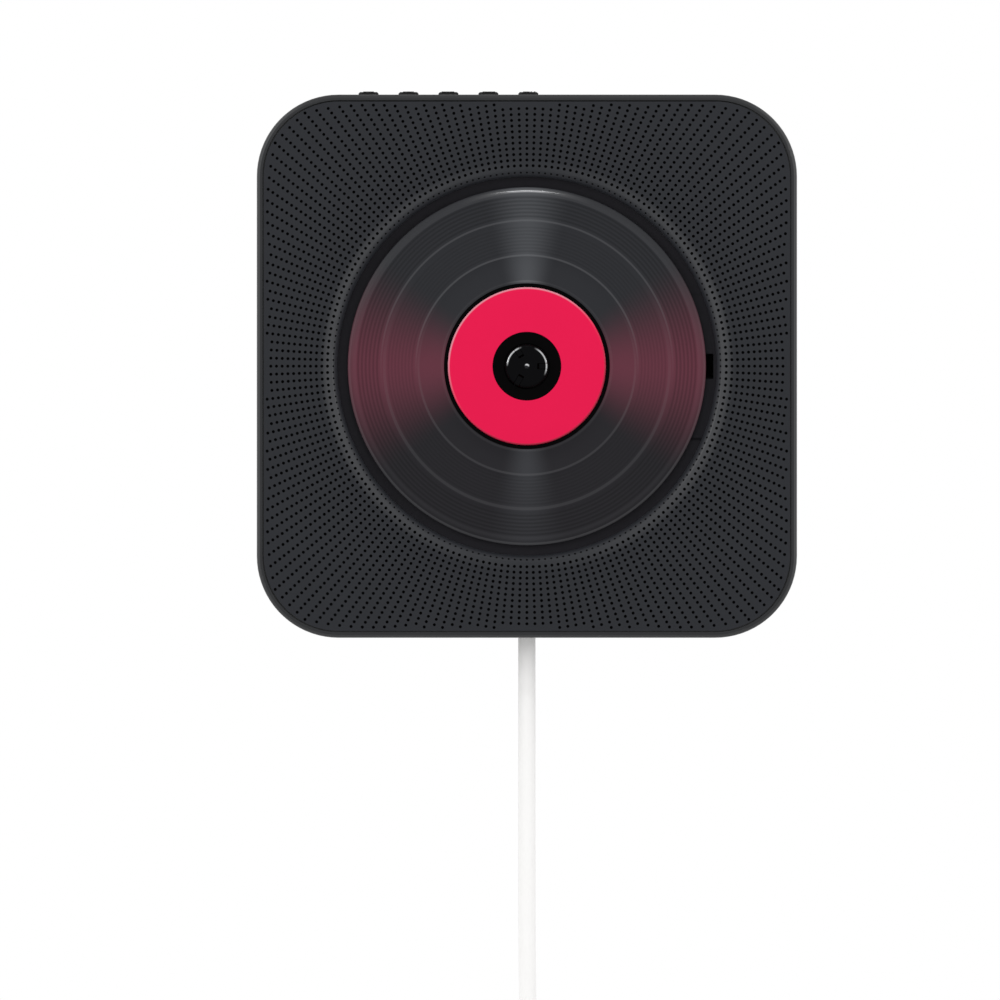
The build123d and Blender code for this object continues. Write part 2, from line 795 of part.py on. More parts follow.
# Pickup sled: a body that slides on the rods, a tower round the lens holder and a nut round the lead screw
sled_middle_x = sled_left + sled_length / 2
nut_radius = screw_radius + nut_gap + nut_wall
nut_x = sled_left + sled_length - nut_length
with BuildPart() as pickup_sled:
    with BuildSketch(at_depth(sled_back)):
        with Locations((sled_middle_x, 0)):
            RectangleRounded(sled_length, 2 * sled_half_width, sled_corner)
    extrude(amount=sled_height)
    with BuildSketch(at_depth(sled_back + sled_height)):
        with Locations((lens_start_radius, 0)):
            RectangleRounded(tower_width, tower_width, tower_corner)
            Rectangle(tower_opening, tower_opening, mode=Mode.SUBTRACT)
    extrude(amount=tower_height)
    with BuildSketch(across(nut_x)):
        with Locations((-screw_depth, screw_height)):
            Circle(nut_radius)
            Rectangle(2 * nut_radius, -screw_height - rod_spread, align=(Align.CENTER, Align.MIN))
    extrude(amount=nut_length)
    with BuildSketch(across(sled_left)):
        with Locations((-rod_depth, -rod_spread)):
            Circle(rod_radius + running_gap)
        with Locations((-rod_depth, rod_spread)):
            Circle(rod_radius + running_gap)
            Rectangle(
                2 * (rod_radius + running_gap),
                2 * sled_edge,
                align=(Align.CENTER, Align.MIN),
            )
        with Locations((-screw_depth, screw_height)):
            Circle(screw_radius + nut_gap)
    extrude(amount=sled_length, mode=Mode.SUBTRACT)
pickup_sled.part.label = "pickup_sled"
export_step(pickup_sled.part, "parts/pickup_sled.step")

# Lens holder: the moving carrier of the focus coil, floating in the sled's tower
lens_holder_back = sled_back + sled_height + lens_holder_gap
with BuildPart() as lens_holder:
    with BuildSketch(at_depth(lens_holder_back)):
        with Locations((lens_start_radius, 0)):
            RectangleRounded(lens_holder_length, lens_holder_width, lens_holder_corner)
    extrude(amount=lens_holder_height)
lens_holder.part.label = "lens_holder"
export_step(lens_holder.part, "parts/lens_holder.step")

# Objective lens: a small bevelled lens on the holder
with BuildPart() as objective_lens:
    with BuildSketch(at_depth(lens_holder_back + lens_holder_height)):
        with Locations((lens_start_radius, 0)):
            Circle(lens_radius)
    extrude(amount=lens_rise)
    chamfer(objective_lens.faces().sort_by(Axis.Y)[0].edges(), lens_bevel)
objective_lens.part.label = "objective_lens"
export_step(objective_lens.part, "parts/objective_lens.step")

# Lead screw: runs in the motor at its left end and in the chassis bracket at its right end
screw_left = motor_bracket_x + sled_motor_bracket / 2 + screw_end_gap
screw_right = rod_bracket_right - screw_end_gap
motor_front_x = motor_bracket_x - sled_motor_bracket / 2
with BuildPart() as lead_screw:
    with BuildSketch(across(screw_left)):
        with Locations((-screw_depth, screw_height)):
            Circle(screw_radius)
    extrude(amount=screw_right - screw_left)
    with BuildSketch(across(motor_front_x - sled_motor_radius)):
        with Locations((-screw_depth, screw_height)):
            Circle(screw_journal_radius)
    extrude(amount=rod_bracket_right + rod_bracket_thickness - motor_front_x + sled_motor_radius)
lead_screw.part.label = "lead_screw"
export_step(lead_screw.part, "parts/lead_screw.step")

# Sled motor: a round can with two flats, fixed to its bracket
with BuildPart() as sled_motor:
    with BuildSketch(across(motor_front_x - sled_motor_length)):
        with Locations((-screw_depth, screw_height)):
            Circle(sled_motor_radius)
            Rectangle(2 * sled_motor_radius, sled_motor_flats, mode=Mode.INTERSECT)
    extrude(amount=sled_motor_length)
    with BuildSketch(across(motor_front_x - sled_motor_radius - screw_end_gap)):
        with Locations((-screw_depth, screw_height)):
            small_round(screw_journal_radius + running_gap)
    extrude(amount=sled_motor_radius + screw_end_gap, mode=Mode.SUBTRACT)
sled_motor.part.label = "sled_motor"
export_step(sled_motor.part, "parts/sled_motor.step")

# Damper bushes: four rubber spools in the chassis, between the screw heads and the deck's bosses
with BuildPart() as damper_bushes:
    with BuildSketch(at_depth(damper_back)):
        with Locations(damper_centre):
            with GridLocations(*damper_spacing, 2, 2):
                small_round(damper_flange_radius)
    extrude(amount=damper_flange_height)
    with BuildSketch(at_depth(chassis_front)):
        with Locations(damper_centre):
            with GridLocations(*damper_spacing, 2, 2):
                small_round(damper_flange_radius)
    extrude(amount=damper_flange_height)
    with BuildSketch(at_depth(chassis_back)):
        with Locations(damper_centre):
            with GridLocations(*damper_spacing, 2, 2):
                small_round(damper_neck_radius)
    extrude(amount=chassis_thickness)
    with BuildSketch(at_depth(damper_back)):
        with Locations(damper_centre):
            with GridLocations(*damper_spacing, 2, 2):
                small_round(damper_bore_radius)
    extrude(amount=damper_front - damper_back, mode=Mode.SUBTRACT)
damper_bushes.part.label = "damper_bushes"
export_step(damper_bushes.part, "parts/damper_bushes.step")

# Mechanism screws: four shouldered screws through the bushes into the deck
with BuildPart() as mechanism_screws:
    with BuildSketch(at_depth(damper_back - screw_head_height)):
        with Locations(damper_centre):
            with GridLocations(*damper_spacing, 2, 2):
                small_round(small_screw_radius * screw_head_ratio)
    extrude(amount=screw_head_height)
    with BuildSketch(at_depth(damper_back)):
        with Locations(damper_centre):
            with GridLocations(*damper_spacing, 2, 2):
                small_round(small_screw_radius)
    extrude(amount=deck_back - damper_back + deck_thickness / 2 - running_gap)
mechanism_screws.part.label = "mechanism_screws"
export_step(mechanism_screws.part, "parts/mechanism_screws.step")

# Spindle motor: a round can under the chassis, with its bearing boss in the chassis hole
motor_back = chassis_back - motor_length
with BuildPart() as spindle_motor:
    with BuildSketch(turning_plane()):
        with BuildLine():
            Polyline(
                (0, motor_back),
                (motor_radius, motor_back),
                (motor_radius, chassis_back),
                (motor_boss_radius, chassis_back),
                (motor_boss_radius, chassis_back + motor_boss_height),
                (shaft_radius + running_gap, chassis_back + motor_boss_height),
                (shaft_radius + running_gap, motor_back + motor_floor),
                (0, motor_back + motor_floor),
                close=True,
            )
        make_face()
    revolve(axis=Axis.Y)
spindle_motor.part.label = "spindle_motor"
export_step(spindle_motor.part, "parts/spindle_motor.step")

# Spindle shaft: from the motor's bottom bearing to a rounded end that shows in the hub
shaft_back = motor_back + motor_floor + running_gap
shaft_front = hub_front + shaft_stands_out
with BuildPart() as spindle_shaft:
    with BuildSketch(at_depth(shaft_back)):
        Circle(shaft_radius)
    extrude(amount=shaft_front - shaft_back)
    chamfer(spindle_shaft.faces().sort_by(Axis.Y)[0].edges(), shaft_end_bevel)
spindle_shaft.part.label = "spindle_shaft"
export_step(spindle_shaft.part, "parts/spindle_shaft.step")

# Turntable: sleeve, platter and hub in one turned piece, with three slots for the catches
catch_inner_radius = catch_outer_radius - catch_length
catch_back = hub_front - catch_height
with BuildPart() as turntable:
    with BuildSketch(turning_plane()):
        with BuildLine():
            Polyline(
                (hub_radius - hub_edge_bevel, hub_front),
                (shaft_radius + press_gap, hub_front),
                (shaft_radius + press_gap, hub_sleeve_back),
                (hub_sleeve_radius, hub_sleeve_back),
                (hub_sleeve_radius, platter_back),
                (platter_radius, platter_back),
                (platter_radius, disc_back),
                (hub_radius, disc_back),
                (hub_radius, hub_front - hub_edge_bevel),
                close=True,
            )
        make_face()
    revolve(axis=Axis.Y)
    with BuildSketch(at_depth(catch_back - catch_floor_gap)):
        slot_inner_radius = catch_inner_radius - catch_travel - catch_side_gap
        with PolarLocations(slot_inner_radius, catch_count, catch_first_angle):
            Rectangle(
                hub_radius,
                catch_width + 2 * catch_side_gap,
                align=(Align.MIN, Align.CENTER),
            )
    extrude(amount=hub_height, mode=Mode.SUBTRACT)
turntable.part.label = "turntable"
export_step(turntable.part, "parts/turntable.step")

# Disc catches: three small pawls that slide inwards in the hub's slots as a disc is pressed over them
for number in range(catch_count):
    catch_angle = catch_first_angle + number * 360 / catch_count
    catch_name = f"hub_catch_{number + 1}"
    with BuildPart() as hub_catch:
        with BuildSketch(at_depth(catch_back)):
            with PolarLocations(catch_inner_radius, 1, catch_angle):
                Rectangle(catch_length, catch_width, align=(Align.MIN, Align.CENTER))
        extrude(amount=catch_height)
        nose = Vector(cos(radians(catch_angle)), 0, sin(radians(catch_angle)))
        front_edges = hub_catch.faces().sort_by(Axis.Y)[0].edges()
        fillet(front_edges.sort_by(Axis((0, 0, 0), nose))[-1], catch_nose_round)
    hub_catch.part.label = catch_name
    export_step(hub_catch.part, f"parts/{catch_name}.step")

# Disc: a standard disc with its centre bore and the ring groove outside the label
with BuildPart() as compact_disc:
    with BuildSketch(at_depth(disc_back)):
        Circle(disc_radius)
        Circle(disc_bore_radius, mode=Mode.SUBTRACT)
    extrude(amount=disc_thickness)
    rims = compact_disc.edges().filter_by(GeomType.CIRCLE).group_by(SortBy.RADIUS)[-1]
    chamfer(rims, disc_edge_bevel)
    with BuildSketch(at_depth(disc_front - disc_groove_depth)):
        Circle(disc_groove_radius + disc_groove_width / 2)
        Circle(disc_groove_radius - disc_groove_width / 2, mode=Mode.SUBTRACT)
    extrude(amount=disc_groove_depth, mode=Mode.SUBTRACT)
compact_disc.part.label = "compact_disc"
export_step(compact_disc.part, "parts/compact_disc.step")

# Label: a raised ring on the disc with a bevelled outer edge
with BuildPart() as disc_label:
    with BuildSketch(at_depth(disc_front)):
        Circle(label_radius)
        Circle(label_bore_radius, mode=Mode.SUBTRACT)
    extrude(amount=label_thickness)
    front_face = disc_label.faces().sort_by(Axis.Y)[0]
    chamfer(front_face.outer_wire().edges(), label_edge_bevel)
disc_label.part.label = "disc_label"
export_step(disc_label.part, "parts/disc_label.step")

# Speakers: frame, cone and magnet, turned on the right-hand axis and mirrored to the left
speaker_axis = Axis((speaker_x, 0, speaker_z), (0, 1, 0))
speaker_plane = turning_plane(speaker_x, speaker_z)
basket_front = panel_back - speaker_flange_thickness
basket_back = basket_front - speaker_basket_depth
basket_mouth = speaker_radius - speaker_flange_width
coil_hole = speaker_coil_radius + speaker_coil_gap
with BuildPart() as speaker_frames:
    with BuildSketch(speaker_plane):
        with BuildLine():
            Polyline(
                (speaker_radius, panel_back),
                (speaker_radius, basket_front),
                (basket_mouth + speaker_basket_wall, basket_front),
                (speaker_basket_radius, basket_back),
                (coil_hole, basket_back),
                (coil_hole, basket_back + speaker_basket_wall),
                (speaker_basket_radius - speaker_basket_wall, basket_back + speaker_basket_wall),
                (basket_mouth, basket_front + speaker_coil_gap),
                (basket_mouth, panel_back),
                close=True,
            )
        make_face()
    revolve(axis=speaker_axis)
    mirror(about=Plane.YZ)
speaker_frames.part.label = "speaker_frames"
export_step(speaker_frames.part, "parts/speaker_frames.step")

cone_rim = panel_back - speaker_coil_gap
cone_mouth = basket_mouth - speaker_coil_gap
cone_bottom = cone_rim - speaker_cone_depth
coil_bottom = basket_back + speaker_coil_gap
with BuildPart() as speaker_cones:
    with BuildSketch(speaker_plane):
        with BuildLine():
            Polyline(
                (cone_mouth, cone_rim),
                (speaker_coil_radius, cone_bottom),
                (0, cone_bottom + speaker_dome_rise),
                (0, cone_bottom + speaker_dome_rise - speaker_cone_thickness),
                (speaker_coil_radius - speaker_coil_wall, cone_bottom - speaker_cone_thickness),
                (speaker_coil_radius - speaker_coil_wall, coil_bottom),
                (speaker_coil_radius, coil_bottom),
                (speaker_coil_radius, cone_bottom - speaker_cone_thickness),
                (cone_mouth, cone_rim - speaker_cone_thickness),
                close=True,
            )
        make_face()
    revolve(axis=speaker_axis)
    mirror(about=Plane.YZ)
speaker_cones.part.label = "speaker_cones"
export_step(speaker_cones.part, "parts/speaker_cones.step")

with BuildPart() as speaker_magnets:
    with BuildSketch(at_depth(basket_back - speaker_magnet_height)):
        with Locations((-speaker_x, speaker_z), (speaker_x, speaker_z)):
            Circle(speaker_magnet_radius)
    extrude(amount=speaker_magnet_height)
speaker_magnets.part.label = "speaker_magnets"
export_step(speaker_magnets.part, "parts/speaker_magnets.step")

# Keys: five caps in the top wall, each with a bevelled head, a captive flange and a stem over its switch
for key_name, key_centre in zip(key_names, key_centres):
    with BuildPart() as key:
        with BuildSketch(at_height(key_flange_top)) as key_outline:
            with Locations(key_centre):
                Rectangle(key_width, key_length)
            chamfer(key_outline.vertices(), key_corner)
        extrude(amount=case_height / 2 + key_stands_out - key_flange_top)
        chamfer(key.faces().sort_by(Axis.Z)[-1].edges(), key_bevel)
        with BuildSketch(at_height(key_flange_top - key_flange)):
            with Locations(key_centre):
                Rectangle(key_width + 2 * key_flange_width, key_length + 2 * key_flange_width)
        extrude(amount=key_flange)
        stem_bottom = switch_top + key_travel + key_end_gap
        with BuildSketch(at_height(stem_bottom)):
            with Locations(key_centre):
                Rectangle(key_stem, key_stem)
        extrude(amount=key_flange_top - key_flange - stem_bottom)
    key.part.label = key_name
    export_step(key.part, f"parts/{key_name}.step")

# Key board: a narrow circuit board on the frame's two posts, with a switch under each key
key_board_left = key_centres[0][0] - key_board_margin
key_board_right = key_centres[-1][0] + key_board_margin
with BuildPart() as key_board:
    with BuildSketch(at_height(key_board_top - key_board_thickness)):
        with Locations(((key_board_left + key_board_right) / 2, -key_depth)):
            Rectangle(key_board_right - key_board_left, key_board_width)
    extrude(amount=key_board_thickness)
key_board.part.label = "key_board"
export_step(key_board.part, "parts/key_board.step")

with BuildPart() as key_switches:
    with BuildSketch(at_height(key_board_top)):
        with Locations(*key_centres):
            Rectangle(switch_width, switch_width)
    extrude(amount=switch_height)
    with BuildSketch(at_height(key_board_top + switch_height)):
        with Locations(*key_centres):
            small_round(switch_plunger_radius)
    extrude(amount=switch_plunger_height)
key_switches.part.label = "key_switches"
export_step(key_switches.part, "parts/key_switches.step")

# Main board on the rear cover's posts, and what stands on it
with BuildPart() as main_board:
    with BuildSketch(at_depth(board_depth)):
        with Locations((0, board_middle)):
            Rectangle(board_width, board_height)
    extrude(amount=board_thickness)
main_board.part.label = "main_board"
export_step(main_board.part, "parts/main_board.step")

# What stands on the board: chips and sockets, and the capacitors
with BuildPart() as board_components:
    for x, z, width, height, thickness in board_chips:
        with BuildSketch(at_depth(board_front)):
            with Locations((x, board_middle + z)):
                Rectangle(width, height)
        extrude(amount=thickness)
    with BuildSketch(at_depth(board_front)):
        with Locations(*[(x, board_middle + z) for x, z in board_capacitors]):
            small_round(capacitor_radius)
    extrude(amount=capacitor_height)
board_components.part.label = "board_components"
export_step(board_components.part, "parts/board_components.step")

# Headphone socket: a block on the main board with a barrel that comes up through the top wall
jack_top = inner_top - jack_gap
jack_block_top = jack_top - jack_barrel_length
with BuildPart() as headphone_jack:
    with BuildSketch(at_height(jack_block_top - jack_length)):
        with Locations((jack_x, -jack_depth)):
            Rectangle(jack_width, jack_width)
    extrude(amount=jack_length)
    with BuildSketch(at_height(jack_block_top)):
        with Locations((jack_x, -jack_depth)):
            Circle(jack_barrel_radius)
    extrude(amount=jack_barrel_length)
    with BuildSketch(at_height(jack_top - jack_bore_depth)):
        with Locations((jack_x, -jack_depth)):
            Circle(jack_bore_radius)
    extrude(amount=jack_bore_depth, mode=Mode.SUBTRACT)
headphone_jack.part.label = "headphone_jack"
export_step(headphone_jack.part, "parts/headphone_jack.step")

# Cord bushing: a flanged ring in the bottom wall that guides the cord
with BuildPart() as cord_bushing:
    with BuildSketch(at_height(-case_height / 2)):
        with Locations((0, -cord_depth)):
            Circle(bushing_radius)
    extrude(amount=case_wall)
    with BuildSketch(at_height(-inner_top)):
        with Locations((0, -cord_depth)):
            Circle(bushing_flange_radius)
    extrude(amount=bushing_flange_height)
    with BuildSketch(at_height(-case_height / 2)):
        with Locations((0, -cord_depth)):
            Circle(cord_radius + bushing_bore_gap)
    extrude(amount=case_wall + bushing_flange_height, mode=Mode.SUBTRACT)
cord_bushing.part.label = "cord_bushing"
export_step(cord_bushing.part, "parts/cord_bushing.step")

# Pull slider: carries the cord's upper end between the rails, with an arm that reaches over to the switch
with BuildPart() as pull_slider:
    with BuildSketch(at_height(slider_bottom)):
        with Locations((0, -cord_depth)):
            Rectangle(slider_width, slider_thickness)
    extrude(amount=slider_length)
    with BuildSketch(at_height(slider_top - slider_arm_height)):
        with Locations((0, -cord_depth)):
            Rectangle(slider_arm_reach, slider_thickness, align=(Align.MIN, Align.CENTER))
    extrude(amount=slider_arm_height)
    with BuildSketch(at_height(slider_top - slider_foot_length)):
        with Locations((slider_arm_reach, -cord_depth)):
            Rectangle(slider_foot_width, slider_thickness, align=(Align.MAX, Align.CENTER))
    extrude(amount=slider_foot_length)
pull_slider.part.label = "pull_slider"
export_step(pull_slider.part, "parts/pull_slider.step")

# Return spring round the cord, from the bushing's flange to the slider
spring_length = slider_bottom - bushing_top
with BuildPart() as pull_spring:
    with BuildLine():
        spring_line = Helix(
            pitch=(spring_length - spring_wire) / spring_turns,
            height=spring_length - spring_wire,
            radius=spring_radius,
            center=(0, -cord_depth, bushing_top + spring_wire / 2),
        )
    with BuildSketch(Plane(origin=spring_line @ 0, z_dir=spring_line % 0)):
        Rectangle(spring_wire, spring_wire)
    sweep(is_frenet=True)
pull_spring.part.label = "pull_spring"
export_step(pull_spring.part, "parts/pull_spring.step")

# Pull switch: a small snap switch under the slider's foot
switch_stop = slider_top - slider_foot_length - pull_travel - pull_switch_gap
pull_switch_x = slider_arm_reach - slider_foot_width / 2
with BuildPart() as pull_switch:
    with BuildSketch(at_height(-inner_top)):
        with Locations((pull_switch_x, -cord_depth)):
            Rectangle(pull_switch_width, pull_switch_depth)
    extrude(amount=pull_switch_height)
    with BuildSketch(at_height(pull_switch_height - inner_top)):
        with Locations((pull_switch_x, -cord_depth)):
            small_round(pull_switch_button_radius)
    extrude(amount=switch_stop - pull_switch_height + inner_top)
pull_switch.part.label = "pull_switch"
export_step(pull_switch.part, "parts/pull_switch.step")

# Cord: the taut run from the slider down to the coil
with BuildPart() as cord_drop:
    with BuildSketch(at_height(coil_centre_z)):
        with Locations((0, -cord_depth)):
            Circle(cord_radius)
    extrude(amount=slider_bottom - coil_centre_z)
cord_drop.part.label = "cord_drop"
export_step(cord_drop.part, "parts/cord_drop.step")

# Coil: the outer shape of the put-away turns, which start and end at its right-hand side
with BuildPart() as cord_coil:
    with BuildSketch(turning_plane(coil_x, coil_centre_z)) as coil_section:
        with Locations((coil_radius, cord_depth)):
            Rectangle(coil_breadth, coil_thickness)
        chamfer(coil_section.vertices(), coil_section_bevel)
    revolve(axis=Axis((coil_x, 0, coil_centre_z), (0, 1, 0)))
cord_coil.part.label = "cord_coil"
export_step(cord_coil.part, "parts/cord_coil.step")

with BuildPart() as cord_tail:
    with BuildSketch(at_height(tail_end)):
        with Locations((0, -cord_depth)):
            Circle(cord_radius)
    extrude(amount=tail_length)
cord_tail.part.label = "cord_tail"
export_step(cord_tail.part, "parts/cord_tail.step")

# Tie: a band round the turns where the cord enters and leaves the coil
with BuildPart() as cord_tie:
    with BuildSketch(at_height(coil_centre_z - tie_width / 2)) as tie_section:
        with Locations((0, -cord_depth)):
            Rectangle(
                coil_breadth + 2 * (tie_gap + tie_thickness),
                coil_thickness + 2 * (tie_gap + tie_thickness),
            )
            chamfer(tie_section.vertices(), tie_bevel)
            Rectangle(coil_breadth + 2 * tie_gap, coil_thickness + 2 * tie_gap, mode=Mode.SUBTRACT)
    extrude(amount=tie_width)
cord_tie.part.label = "cord_tie"
export_step(cord_tie.part, "parts/cord_tie.step")

# Plug: a moulded body with a tapered neck, and a folded metal shell
with BuildPart() as plug_body:
    with BuildSketch(at_height(plug_end)):
        with Locations((0, -cord_depth)):
            RectangleRounded(plug_width, plug_thickness, plug_round)
    extrude(amount=plug_length)
    with BuildSketch(at_height(plug_end + plug_length)):
        with Locations((0, -cord_depth)):
            Circle(plug_thickness / 2)
    with BuildSketch(at_height(tail_end)):
        with Locations((0, -cord_depth)):
            Circle(cord_radius)
    loft()
plug_body.part.label = "plug_body"
export_step(plug_body.part, "parts/plug_body.step")

with BuildPart() as plug_shell:
    with BuildSketch(at_height(plug_end - plug_shell_length)):
        with Locations((0, -cord_depth)):
            Rectangle(plug_shell_width, plug_shell_thickness)
            Rectangle(
                plug_shell_width - 2 * plug_shell_wall,
                plug_shell_thickness - 2 * plug_shell_wall,
                mode=Mode.SUBTRACT,
            )
    extrude(amount=plug_shell_length)
    with BuildSketch(at_height(plug_end - plug_shell_length)):
        with Locations((0, -cord_depth)):
            Rectangle(
                plug_shell_width - 2 * plug_shell_wall,
                plug_shell_thickness / 2 - plug_shell_wall,
                align=(Align.CENTER, Align.MIN),
            )
    extrude(amount=plug_shell_length)
plug_shell.part.label = "plug_shell"
export_step(plug_shell.part, "parts/plug_shell.step")
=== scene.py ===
"""Dresses the wall mounted disc player: the perforated panel, the grooved disc and its bare label, the hub,
the marks on the keys, the screws and the spring behind, the pull cord with its coil, and a finish for every
piece. Lengths are in millimetres until they reach Blender, +X is right, +Z is up, and a depth is a distance
from the wall towards the room, along -Y.
"""

from math import cos, pi, radians, sin, sqrt, tau

import bmesh
import bpy
from mathutils import Matrix, Vector


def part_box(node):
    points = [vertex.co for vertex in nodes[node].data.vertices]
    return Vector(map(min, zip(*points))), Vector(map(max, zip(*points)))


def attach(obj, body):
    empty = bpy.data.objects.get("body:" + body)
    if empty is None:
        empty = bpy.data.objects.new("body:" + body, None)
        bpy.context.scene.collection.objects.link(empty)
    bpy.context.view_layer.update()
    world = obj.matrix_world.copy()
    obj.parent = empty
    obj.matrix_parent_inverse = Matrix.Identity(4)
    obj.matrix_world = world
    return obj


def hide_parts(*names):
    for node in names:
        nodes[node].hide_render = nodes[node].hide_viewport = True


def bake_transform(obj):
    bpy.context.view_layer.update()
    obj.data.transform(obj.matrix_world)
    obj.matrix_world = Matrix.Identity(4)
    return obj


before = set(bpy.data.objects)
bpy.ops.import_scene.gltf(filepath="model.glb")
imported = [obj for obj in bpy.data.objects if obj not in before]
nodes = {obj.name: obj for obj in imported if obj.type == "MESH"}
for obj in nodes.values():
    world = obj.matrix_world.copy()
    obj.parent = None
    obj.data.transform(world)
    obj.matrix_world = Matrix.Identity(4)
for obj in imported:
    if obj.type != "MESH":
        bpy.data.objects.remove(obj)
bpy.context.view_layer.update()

MM = 0.001

# Camera, lamps and floor. The camera's distance and the floor are in metres. A lamp is its place, its width
# and height, all in metres, and its brightness.
CAMERA_DISTANCE = 12.0
PANEL_FACE_DEPTH = 40.0
VIEW_CENTRE_X = -9.01
VIEW_CENTRE_Z = -44.83
VIEW_WIDTH = 335.0
SENSOR_WIDTH = 36.0
ROOM_OVER_READING_LIGHT = 1 / 0.76
LAMPS = {
    "top_box": ((0.0, -1.7, 2.1), (0.75, 0.12), 16.0),
    "left_box": ((-2.0, -1.9, 0.9), (0.14, 1.2), 16.0),
    "right_box": ((2.3, -1.5, 0.35), (0.12, 1.0), 13.0),
}
FLOOR_RADIUS = 3.0
FLOOR_HEIGHT = -0.36
FLOOR_FADES = (0.7, 2.9)

# Panel. The lip is drawn through its angles, 0 at the wall of the well and 90 at its flat top, and its
# dents sit at an angle of their own. The stretch of the hole field sets in between two radii by the lip.
PANEL_HALF_WIDTH = 88.15
PANEL_HALF_HEIGHT = 88.65
PANEL_CORNER_RADIUS = 25.15
PANEL_BACK_DEPTH = 38.0
OUTLINE_CORNER_CUTS = 12
HOLE_SPOKES = 200
HOLE_RING_PITCH = 1.9
HOLE_FIRST_RING = 66.8
HOLE_STRETCH = 1.006
HOLE_STRETCH_SETS_IN = (65.85, 66.25)
HOLE_RINGS = 26
HOLE_RADIUS = 0.525
HOLE_SINK = 1.3
HOLE_RIM = 0.1
HOLE_FIELD_HALF = 87.2
HOLE_FIELD_CORNER = 24.1
LIP_FLAT_RADIUS = 66.3
LIP_ROUND = 2.8
LIP_ANGLES = (0, 12, 24, 36, 47, 70.5, 79.92)
LIP_DENT_ANGLE = 59
LIP_DENT_RADIUS = 0.36
LIP_DENT_SINK = 0.22
LIP_DENT_CELL_REACH = 0.3
WELL_WALL = 1.6
WELL_WALL_DEPTH = 33.3
BETWEEN_WELL_AND_OUTLINE = 75.0

# Disc, label and hub. A ridge is its inner and outer radius and its height. A band of grooves is its inner
# radius, its pitch and its count. The middle ridge and the edge are radii and heights over the disc's top.
DISC_UNDERSIDE = 35.3
DISC_TOP = 36.5
DISC_RADIUS = 60.0
DISC_BORE_RADIUS = 7.5
DISC_BEVEL = 0.2
DISC_STEPS = 240
CLEAR_CENTRE_RADIUS = 19.5
LABEL_INNER_RADIUS = 11.5
LABEL_MIDDLE_RADIUS = 19.0
LABEL_OUTER_RADIUS = 26.5
LABEL_TOP = 36.95
LABEL_ROUND = 0.45
LABEL_CRISP_EDGE = 0.1
LABEL_STEPS = 160
SUNK_RING_OUTER = 27.8
SUNK_RING_SINK = 0.4
SUNK_RING_SLOPE = 0.1
INNER_RIDGE = (28.05, 28.85, 0.14)
OUTER_RIDGE = (36.35, 37.45, 0.16)
MIDDLE_RIDGE = ((47.75, 0), (48.05, 0.09), (48.6, 0.13), (49.0, 0.09), (49.3, 0))
FINE_GROOVES = (37.9, 1.14, 8)
FINE_GROOVE_SINK = 0.07
COARSE_GROOVES = (49.6, 1.27, 6)
COARSE_GROOVE_SINK = 0.12
DISC_EDGE = (
    (57.5, 0.02),
    (57.9, 0.06),
    (58.3, 0.04),
    (58.6, -0.04),
    (58.85, -0.18),
    (59.1, -0.28),
    (59.7, -0.44),
    (DISC_RADIUS, -0.7),
)
HUB_BEVEL_RADII = (6.5, 7.5)
HUB_BEVEL_DEPTH = 37.6
HUB_BEVEL_ROUND = 0.22

# Pull cord, its coil and its return spring. The cord's length is in metres.
CORD_DEPTH = 22.0
CORD_RADIUS = 2.9
CORD_TOP = -72.0
COIL_CENTRE_X = -33.5
COIL_CENTRE_Z = -262.0
COIL_MEAN_RADIUS = 33.7
COIL_PITCH = 6.0
COIL_POINTS = 16
COIL_MOVES_OVER = 0.75
COIL_BACK = CORD_DEPTH - COIL_PITCH / 2
COIL_FRONT = CORD_DEPTH + COIL_PITCH / 2
TAIL_END = -307.0
SPRING_RADIUS = 4.3
SPRING_WIRE = 0.8
SPRING_CLOSED_RISE = 0.9
SPRING_OPEN_TURNS = 3
SPRING_STEPS = 36
SPRING_SIDES = 10

# Rear screws. The head is radii and depths under its top. A cross is the reach and half width of its arms,
# at the mouth of the recess and at its foot.
REAR_SCREW_X = 85.2
REAR_SCREW_Z = 36.0
REAR_SCREW_SIDES = 32
REAR_SHANK_RADIUS = 1.4
REAR_TIP_RADIUS = 0.42
REAR_TIP_LENGTH = 2.0
REAR_HEAD = ((2.75, 1.4), (2.8, 1.3), (2.8, 0.8), (2.65, 0.45), (2.35, 0.18), (1.9, 0.0))
CROSS_MOUTH = (1.45, 0.32)
CROSS_FOOT = (1.1, 0.26)
CROSS_SINK = 0.9

# Pickup lens
LENS_CENTRE_X = 23.0
LENS_RADIUS = 2.4

# Marks on the keys. A bar is its middle, width and length. An arrow is its middle and reach, and 1 where it
# points right or -1 where it points left.
KEY_MARKS = {
    "key_volume_down": [("bar", 0, 0, 3.6, 0.9)],
    "key_volume_up": [("bar", 0, 0, 3.6, 0.9), ("bar", 0, 1.15, 0.9, 1.4), ("bar", 0, -1.15, 0.9, 1.4)],
    "key_previous": [("bar", -2.0, 0, 0.6, 2.4), ("arrow", -0.6, 0, 1.3, -1), ("arrow", 1.3, 0, 1.3, -1)],
    "key_next": [("arrow", -1.3, 0, 1.3, 1), ("arrow", 0.6, 0, 1.3, 1), ("bar", 2.0, 0, 0.6, 2.4)],
    "key_play": [("arrow", -1.0, 0, 1.5, 1), ("bar", 1.0, 0, 0.6, 2.6), ("bar", 2.1, 0, 0.6, 2.6)],
}
MARK_HEIGHT = 0.22
MARK_ROOT = 0.05

# Limits for picking parts of a shape: angles in degrees, points in metres, levels in millimetres, and how
# far a face looks towards the room, from 0 to 1
SHARP_ANGLE = 35
FLAT_ANGLE = 0.5
SAME_POINT = 1e-7
SAME_CAD_POINT = 2e-6
SAME_WAY = 1e-6
SAME_LEVEL = 1e-3
LEANS_TO_ROOM = 0.3
FACES_ROOM = 0.98

collection = bpy.context.scene.collection


